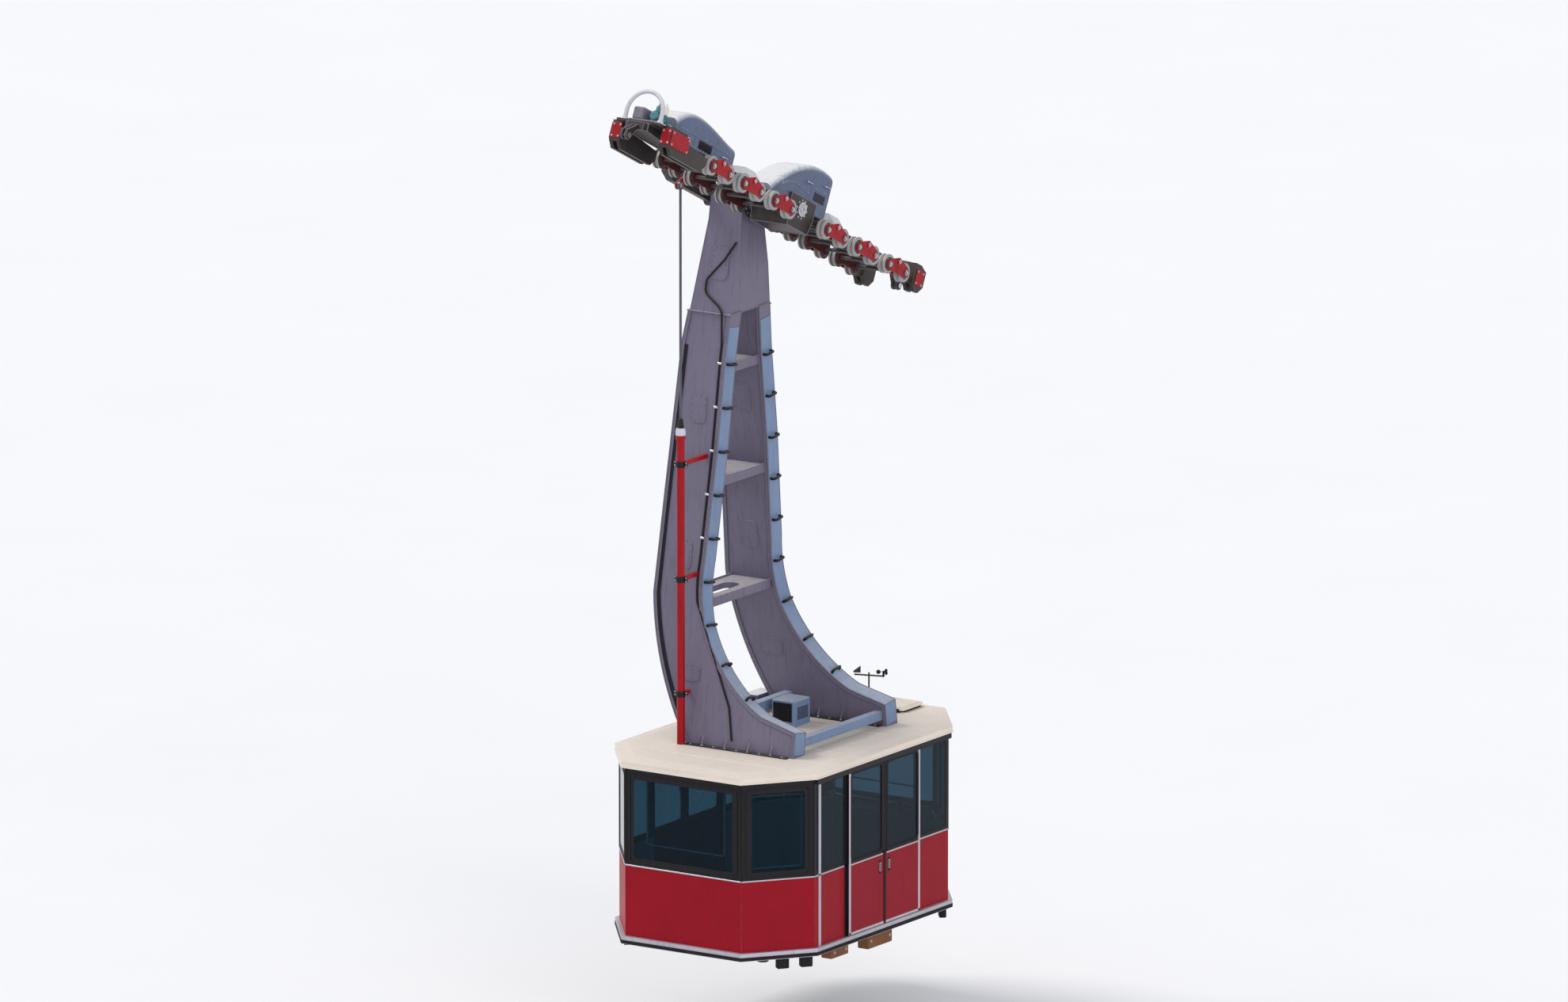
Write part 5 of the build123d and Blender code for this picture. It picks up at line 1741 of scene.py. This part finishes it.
# %% Wind gauge
third_turn = 2.09
gauge = Vector((hang_x + 2.2, 0.05, roof_top))
bar_end = Vector((0.06, -0.2, 0.0))
bar_level = gauge + plumb * 0.36
mast = [[gauge, gauge + plumb * 0.4], [bar_level - bar_end, bar_level + bar_end]]
bars("wind_gauge_mast", mast, 0.012, 0.01, "dark_steel", sides=8)
cup = turned([(0.0, -0.03), (0.024, -0.018), (0.032, 0.0), (0.029, 0.0), (0.02, -0.016), (0.0, -0.026)], 14)
base = turned([(0.0, 0.0), (0.05, 0.0), (0.05, 0.012), (0.02, 0.02), (0.0, 0.02)], 20)
spindle = turned([(0.0, 0.0), (0.016, 0.0), (0.016, 0.08), (0.0, 0.09)], 12)
vane = plate([(-0.02, -0.012), (0.16, -0.05), (0.16, 0.05), (-0.02, 0.012)], 0.003)
cups_middle = bar_level + bar_end + plumb * 0.06
gauge_parts = [(Matrix.Translation(gauge), base), (Matrix.Translation(cups_middle - plumb * 0.07), spindle)]
for step in range(3):
    spoke = Matrix.Rotation(third_turn * step, 3, "Z") @ (ahead * 0.07)
    gauge_parts.append((facing(cups_middle + spoke, spoke.cross(plumb)), cup))
    gauge_parts.append((facing(cups_middle + spoke / 2, spoke), block(0.006, 0.006, 0.07)))
gauge_parts.append((facing(bar_level - bar_end + plumb * 0.04, across, ahead), vane))
build("wind_gauge", gauge_parts, "black_frame")
print("wind gauge parts:", len(gauge_parts))

# %% [markdown]
# ## The doors
# Each leaf slides, so its trim rides on it: the pane's rubber, a light edge strip, a belt moulding, a
# rubber finger guard at the meeting edge and a recessed pull. Nothing may stand out on the inner
# side, where the leaf passes the wall with little room.

# %% Door trim
leaf_out = 0.044
leaf_depth = 0.036
head_room = 0.055
pull_level = belt_z - 0.16


def leaf_place(index, shift, level, out=0.0):
    """A place on the outside of a door leaf, along the wall that it slides on."""
    return wall_place(index, shift, level, leaf_out + out)


for name in ("door_left_front", "door_left_rear", "door_right_front", "door_right_rear"):
    low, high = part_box(name)
    window_low, window_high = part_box(name.replace("door_", "door_window_"))
    index = 2 if "right" in name else 6
    run = wall_run(index)[1].x
    shift = ((low.x + high.x) / 2 - hang_x) * run
    outer = run if "rear" in name else -run
    width = high.x - low.x
    pane_width = window_high.x - window_low.x
    stile = (width - pane_width) / 2
    leaf_height = high.z - head_room - low.z
    leaf_mid = low.z + leaf_height / 2
    ring = rubber_ring(pane_width, 0.034, -0.003, 0.009)
    build(name + "_rubber", [(leaf_place(index, shift, pane_mid), ring)], "black_rubber", name)
    outer_edge = leaf_place(index, shift + outer * (width / 2 - 0.026), leaf_mid, 0.001)
    trim = [
        (outer_edge, block(0.048, leaf_height, 0.006, 0.002)),
        (leaf_place(index, shift, belt_z + 0.01, 0.002), block(width - 0.09, 0.02, 0.008, 0.002)),
        (leaf_place(index, shift, low.z + 0.02, 0.001), block(width - 0.01, 0.035, 0.006, 0.002)),
    ]
    build(name + "_trim", trim, "aluminium_trim", name)
    band_low = belt_z + 0.026
    band_high = high.z - 0.02
    band_mid = (band_low + band_high) / 2
    stile_shift = (width - stile) / 2
    stile_bar = block(stile - 0.002, band_high - band_low, 0.005, 0.001)
    cover = [(leaf_place(index, shift + side * stile_shift, band_mid), stile_bar) for side in pair]
    for rail_low, rail_high in ((band_low, window_low.z), (window_high.z, band_high)):
        if rail_high - rail_low > 0.004:
            rail = block(width - 0.01, rail_high - rail_low, 0.005, 0.001)
            cover.append((leaf_place(index, shift, (rail_low + rail_high) / 2), rail))
    seal = leaf_place(index, shift + outer * (width / 2 + 0.001), leaf_mid, -leaf_depth / 2)
    cover.append((seal, block(0.005, leaf_height, leaf_depth - 0.004, 0.001)))
    build(name + "_window_cover", cover, "black_frame", name)
    meeting_edge = leaf_place(index, shift - outer * (width / 2 - 0.014), leaf_mid, 0.001)
    pull = leaf_place(index, shift - outer * (width / 2 - 0.11), pull_level)
    guard = [(meeting_edge, block(0.026, leaf_height, 0.008, 0.003)), (pull, block(0.05, 0.19, 0.008, 0.003))]
    build(name + "_guard", guard, "black_rubber", name)
    grip = frame_ring(0.02, 0.11, 0.009, 0.009, 0.002, 0.0065)
    build(name + "_grip", [(pull, grip)], "bright_steel", name)
print("door pieces:", len([name for _, name in piece_log if name.startswith("door_")]))

# %% [markdown]
# ## Inside the cabin
# The inside shows through the panes: light boards below the belt, a light ceiling with long lamps,
# poles with collars, rails along the walls, hanging loops and the attendant's desk with its controls.

# %% Lining and ceiling
board_height = belt_z - floor_z - 0.01
board_level = (belt_z + floor_z) / 2
boards = [(index, 0.0, wall_run(index)[2] - 0.05) for index in fixed_walls]
boards += [(index, hand * (bay_middle + 0.01), bay - 0.05) for index in side_walls for hand in pair]
lining = [
    (wall_place(index, shift, board_level, -wall - 0.004), block(length, board_height, 0.006, 0.001))
    for index, shift, length in boards
]
build("wall_lining", lining, "lining_board")
bays = (-1.2, 0.0, 1.2)
ceiling = [(at(hang_x + x, 0.0, rim_z - 0.008), block(1.18, 2.9, 0.012, 0.003)) for x in bays]
build("ceiling_panels", ceiling, "lining_board")
long_lamp = block(0.95, 0.09, 0.02, 0.006)
lamps = [(at(hang_x + x, y, rim_z - 0.024), long_lamp) for y in (-0.85, 0.85) for x in bays]
build("ceiling_lamps", lamps, "lamp_lens")
print("lining boards:", len(lining), "lamps:", len(lamps))

# %% Rails, collars and loops
rail_level = floor_z + 1.05
bar_z = rim_z - 0.22
bar_reach = 1.95
strap_ys = (-0.62, 0.62)
loop_drop = plumb * -0.14
rails = []
for index in fixed_walls:
    reach = wall_run(index)[2] / 2 - 0.12
    route = [(-reach, -wall), (-reach, -wall - 0.09), (reach, -wall - 0.09), (reach, -wall)]
    rails.append([wall_place(index, shift, rail_level, out).translation for shift, out in route])
straps = []
for y in strap_ys:
    route = ((-bar_reach, rim_z), (-bar_reach, bar_z), (bar_reach, bar_z), (bar_reach, rim_z))
    rails.append([Vector((hang_x + x, y, z)) for x, z in route])
    for x in evenly(-1.6, 1.6, 9):
        top = Vector((hang_x + x, y, bar_z))
        knot = top + loop_drop
        foot = [top + Vector((x, 0, -0.25)) for x in (0.06, -0.06)]
        straps += [[top, knot], [knot, *foot, knot]]
bars("grab_rails", rails, 0.016, 0.07, "bright_steel", sides=12)
bars("hanging_loops", straps, 0.008, 0.03, "black_rubber", sides=6)
pole_collar = turned([(0.02, 0.0), (0.05, 0.0), (0.048, 0.012), (0.026, 0.03), (0.02, 0.03)])
upside_down = Matrix.Rotation(math.pi, 4, "X")
collars = []
for x in (-1.25, 0.0, 1.25):
    collars.append((at(hang_x + x, 0.0, floor_z), pole_collar))
    collars.append((at(hang_x + x, 0.0, rim_z - 0.014) @ upside_down, pole_collar))
build("pole_collars", collars, "bright_steel")
print("straps:", len(straps) // 2, "rails:", len(rails))

# %% Desk controls
desk_low, desk_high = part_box("attendant_desk")
desk = centre("attendant_desk")
top = at(desk.x - 0.01, desk.y, desk_high.z + 0.03) @ Matrix.Rotation(math.radians(-18), 4, "Y")
face_z = 0.025
console = [
    (top, block(0.30, 1.04, 0.05, 0.012)),
    (top @ at(0.02, -0.25, 0.035), block(0.18, 0.26, 0.02, 0.006)),
]
build("desk_console", console, "desk_plastic")
button = turned([(0.0, 0.0), (0.016, 0.0), (0.016, 0.01), (0.011, 0.016), (0.0, 0.018)], 16)
buttons = [
    (top @ at(-0.06 + 0.05 * row, 0.055 * column, face_z), button) for row in range(3) for column in range(7)
]
build("desk_buttons", buttons, "bright_steel")
stop = turned([(0.0, 0.0), (0.02, 0.0), (0.02, 0.02), (0.036, 0.026), (0.036, 0.04), (0.0, 0.046)], 20)
stops = [(top @ at(x, y, face_z), stop) for x, y in ((-0.06, -0.42), (0.06, 0.46))]
build("desk_stop_buttons", stops, "red_steel")
lever = turned(
    [(0.0, 0.0), (0.03, 0.0), (0.03, 0.01), (0.009, 0.02), (0.009, 0.13), (0.02, 0.14), (0.024, 0.16),
     (0.018, 0.18), (0.0, 0.184)],
    18,
)
build("desk_lever", [(top @ at(0.02, -0.43, face_z), lever)], "black_frame")
door = block(0.008, 0.5, 0.78, 0.003)
doors = [(at(desk_low.x - 0.002, desk.y + y, desk.z - 0.03), door) for y in (-0.265, 0.265)]
build("desk_doors", doors, "desk_plastic")
print("desk buttons:", len(buttons))

# %% [markdown]
# ## Under the floor
# From below the cabin shows its runners with bolts along both sides, rubber rings on the buffers,
# boxes for the batteries, a cable duct, wooden blocks that slide along the platform's edge, and
# rubber pads under the corners.

# %% Runners, buffers and boxes
runner_y = 0.64
buffer_xs = (-1.5, -0.8, 0.8, 1.5)
buffer_z = cabin_bottom - 0.13
pad_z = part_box("underframe")[0].z - 0.006
buffer_ring = turned([(0.094, -0.004), (0.112, -0.004), (0.112, -0.03), (0.09, -0.03)], 28)
buffer_pad = turned([(0.0, 0.0), (0.07, 0.0), (0.074, 0.006), (0.074, 0.02), (0.0, 0.02)])
rings = []
runner_bolts = []
for side in pair:
    for x in buffer_xs:
        rings.append((at(hang_x + x, side * runner_y, buffer_z), buffer_ring))
        rings.append((at(hang_x + x, side * runner_y, pad_z), buffer_pad))
    for x in evenly(-1.55, 1.55, 16):
        for face in pair:
            point = Vector((hang_x + x, side * runner_y + face * 0.06, cabin_bottom - 0.03))
            runner_bolts.append((point, across * face, 0.009))
build("buffer_rings", rings, "black_rubber")
bolts("runner_bolts", runner_bolts)
box_table = [    # x and y of the middle, length, width, depth, chamfer
    (0.7, 0.0, 0.9, 0.7, 0.16, 0.015),
    (-0.7, 0.2, 1.1, 0.12, 0.1, 0.01),
    (-0.85, -0.2, 0.5, 0.4, 0.14, 0.015),
]
boxes = [
    (at(hang_x + x, y, cabin_bottom - depth / 2), block(length, width, depth, chamfer))
    for x, y, length, width, depth, chamfer in box_table
]
build("underfloor_boxes", boxes, "dark_steel")
print("runner bolts:", len(runner_bolts))

# %% Guide blocks and corner pads
guides = []
guide_bolts = []
for side in pair:
    for x, length, depth in ((0.02, 0.6, 0.21), (-0.98, 0.42, 0.16)):
        level = cabin_bottom - depth / 2
        guides.append((at(hang_x + x, side * 1.47, level), block(length, 0.18, depth, 0.012)))
        for end in pair:
            point = Vector((hang_x + x + end * (length / 2 - 0.07), side * 1.56, level))
            guide_bolts.append((point, across * side, 0.014))
build("platform_guide_blocks", guides, "hardwood")
pads = []
for index in corner_walls:
    towards_side = 1 if index in (1, 5) else -1
    for part in (0.08, 0.4):
        shift = towards_side * part * wall_run(index)[2]
        pads.append((wall_place(index, shift, cabin_bottom - 0.08, -0.07), block(0.17, 0.16, 0.1, 0.012)))
build("corner_guide_pads", pads, "black_rubber")
bolts("guide_block_bolts", guide_bolts)
box_foot = [(Vector((hang_x + 0.7, 0.0, cabin_bottom - 0.16)), -plumb, ahead)]
ribs("underfloor_box_ribs", box_foot, (0.8, 0.02, 0.012), 9, 0.07, "dark_steel")
print("guide blocks:", len(guides), "corner pads:", len(pads))

# %% [markdown]
# ## Light, floor and camera
# The camera stands far away behind a long lens, as the photograph's did, looking down by about 13
# degrees. It is aimed at the middle of the whole model as it sees it, and its distance follows from
# how much of the picture's height the model fills.

# %% Camera
camera_back = Vector((-0.8157, -0.5358, 0.2181)).normalized()
lens_mm = 500.0
sensor_mm = 36.0
frame_shape = 1980 / 1265
fill_of_frame = 0.93
camera_data = bpy.data.cameras.new("camera")
camera_data.lens = lens_mm
camera_data.sensor_width = sensor_mm
camera_data.clip_end = 3000.0
camera = bpy.data.objects.new("camera", camera_data)
bpy.context.collection.objects.link(camera)
bpy.context.scene.camera = camera
turn = camera_back.to_track_quat("Z", "Y")
part_corners = []
for low, high in (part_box(name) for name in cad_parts):
    part_corners += [
        Vector((x, y, z)) for x in (low.x, high.x) for y in (low.y, high.y) for z in (low.z, high.z)
    ]
aim = camera_back * ((Vector(cad_low) + Vector(cad_high)) / 2).dot(camera_back)
for view_axis in (turn @ ahead, turn @ across):
    reaches = [corner.dot(view_axis) for corner in part_corners]
    aim += view_axis * (min(reaches) + max(reaches)) / 2
view_height = (max(reaches) - min(reaches)) / fill_of_frame
distance = view_height * lens_mm / (sensor_mm / frame_shape)
camera.rotation_euler = turn.to_euler()
camera.location = aim + camera_back * distance
print("camera stands", round(distance, 1), "metres away")

# %% [markdown]
# A plain studio: a pale floor that is far larger than the view, so that no edge shows, and a pale
# world. What the camera, a mirror or a pane sees of them is brighter than the light that they give,
# so the background is near white while the colours of the object stay as they are written.

# %% Floor and world
floor_glow = 0.16


def seen_directly(tree):
    """1 for the rays that come from the camera, off a gloss or through glass."""
    path = wire(tree, "ShaderNodeLightPath").outputs
    mirrored = arithmetic(tree, "MAXIMUM", path["Is Camera Ray"], path["Is Glossy Ray"])
    return arithmetic(tree, "MAXIMUM", mirrored, path["Is Transmission Ray"])


def make_floor_material():
    """A pale matt floor with its shadow kept, and a faint glow that only direct views see."""
    material, tree = start_material("studio_floor")
    grain = noise(tree, object_point(tree), 0.35, 6.0)
    shade = mixed(tree, grain, (0.74, 0.745, 0.755, 1.0), (0.78, 0.78, 0.785, 1.0))
    matt = wire(tree, "ShaderNodeBsdfPrincipled", {"Base Color": shade, "Roughness": 0.9})
    strength = arithmetic(tree, "MULTIPLY", seen_directly(tree), floor_glow)
    glow = wire(tree, "ShaderNodeEmission", {"Strength": strength})
    both = wire(tree, "ShaderNodeAddShader", {0: matt.outputs["BSDF"], 1: glow.outputs["Emission"]})
    wire(tree, "ShaderNodeOutputMaterial", {"Surface": both.outputs["Shader"]})
    return material


floor_level = cad_low[2] - 1.2
floor_reach = 160.0
floor_signs = ((-1, -1), (1, -1), (1, 1), (-1, 1))
floor_points = [(a * floor_reach, b * floor_reach, floor_level) for a, b in floor_signs]
floor_mesh = bpy.data.meshes.new("studio_floor")
floor_mesh.from_pydata(floor_points, [], [(0, 1, 2, 3)])
floor_mesh.materials.append(make_floor_material())
studio_floor = bpy.data.objects.new("studio_floor", floor_mesh)
bpy.context.collection.objects.link(studio_floor)
world = bpy.data.worlds.new("studio")
bpy.context.scene.world = world
world.use_nodes = True
sky = world.node_tree
sky.nodes.clear()
lighting = wire(sky, "ShaderNodeBackground", {"Color": (0.86, 0.9, 1.0, 1.0), "Strength": 0.55})
backdrop = wire(sky, "ShaderNodeBackground", {"Color": (1.0, 1.0, 1.0, 1.0), "Strength": 1.0})
chosen = {0: seen_directly(sky), 1: lighting.outputs["Background"], 2: backdrop.outputs["Background"]}
wire(sky, "ShaderNodeOutputWorld", {"Surface": wire(sky, "ShaderNodeMixShader", chosen).outputs["Shader"]})
bpy.context.scene.view_settings.view_transform = "Standard"
print("floor at", round(floor_level, 2))

# %% [markdown]
# One soft key light comes from behind and above, and one weaker light from the camera's side. Both
# are suns, because their light is even over the whole height of the hanger.

# %% Lamps
def add_sun(name, towards, strength, spread, colour):
    """A far light that shines from a direction."""
    data = bpy.data.lights.new(name, "SUN")
    data.energy = strength
    data.angle = math.radians(spread)
    data.color = colour
    lamp = bpy.data.objects.new(name, data)
    lamp.rotation_euler = Vector(towards).to_track_quat("Z", "Y").to_euler()
    bpy.context.collection.objects.link(lamp)


add_sun("key_light", (-0.15, 0.6, 0.8), 1.7, 25, (1.0, 0.97, 0.93))
add_sun("fill_light", (-0.55, -0.8, 0.3), 1.0, 40, (1.0, 0.97, 0.95))
print("suns:", [light.name for light in bpy.data.lights if light.type == "SUN"])

# %% [markdown]
# ## The finished piece list
# The pieces are counted, with their triangles and the largest of them.

# %% Finish
print("pieces:", len(piece_log), "triangles:", sum(row[0] for row in piece_log))
print("largest pieces:", sorted(piece_log, reverse=True)[:5])
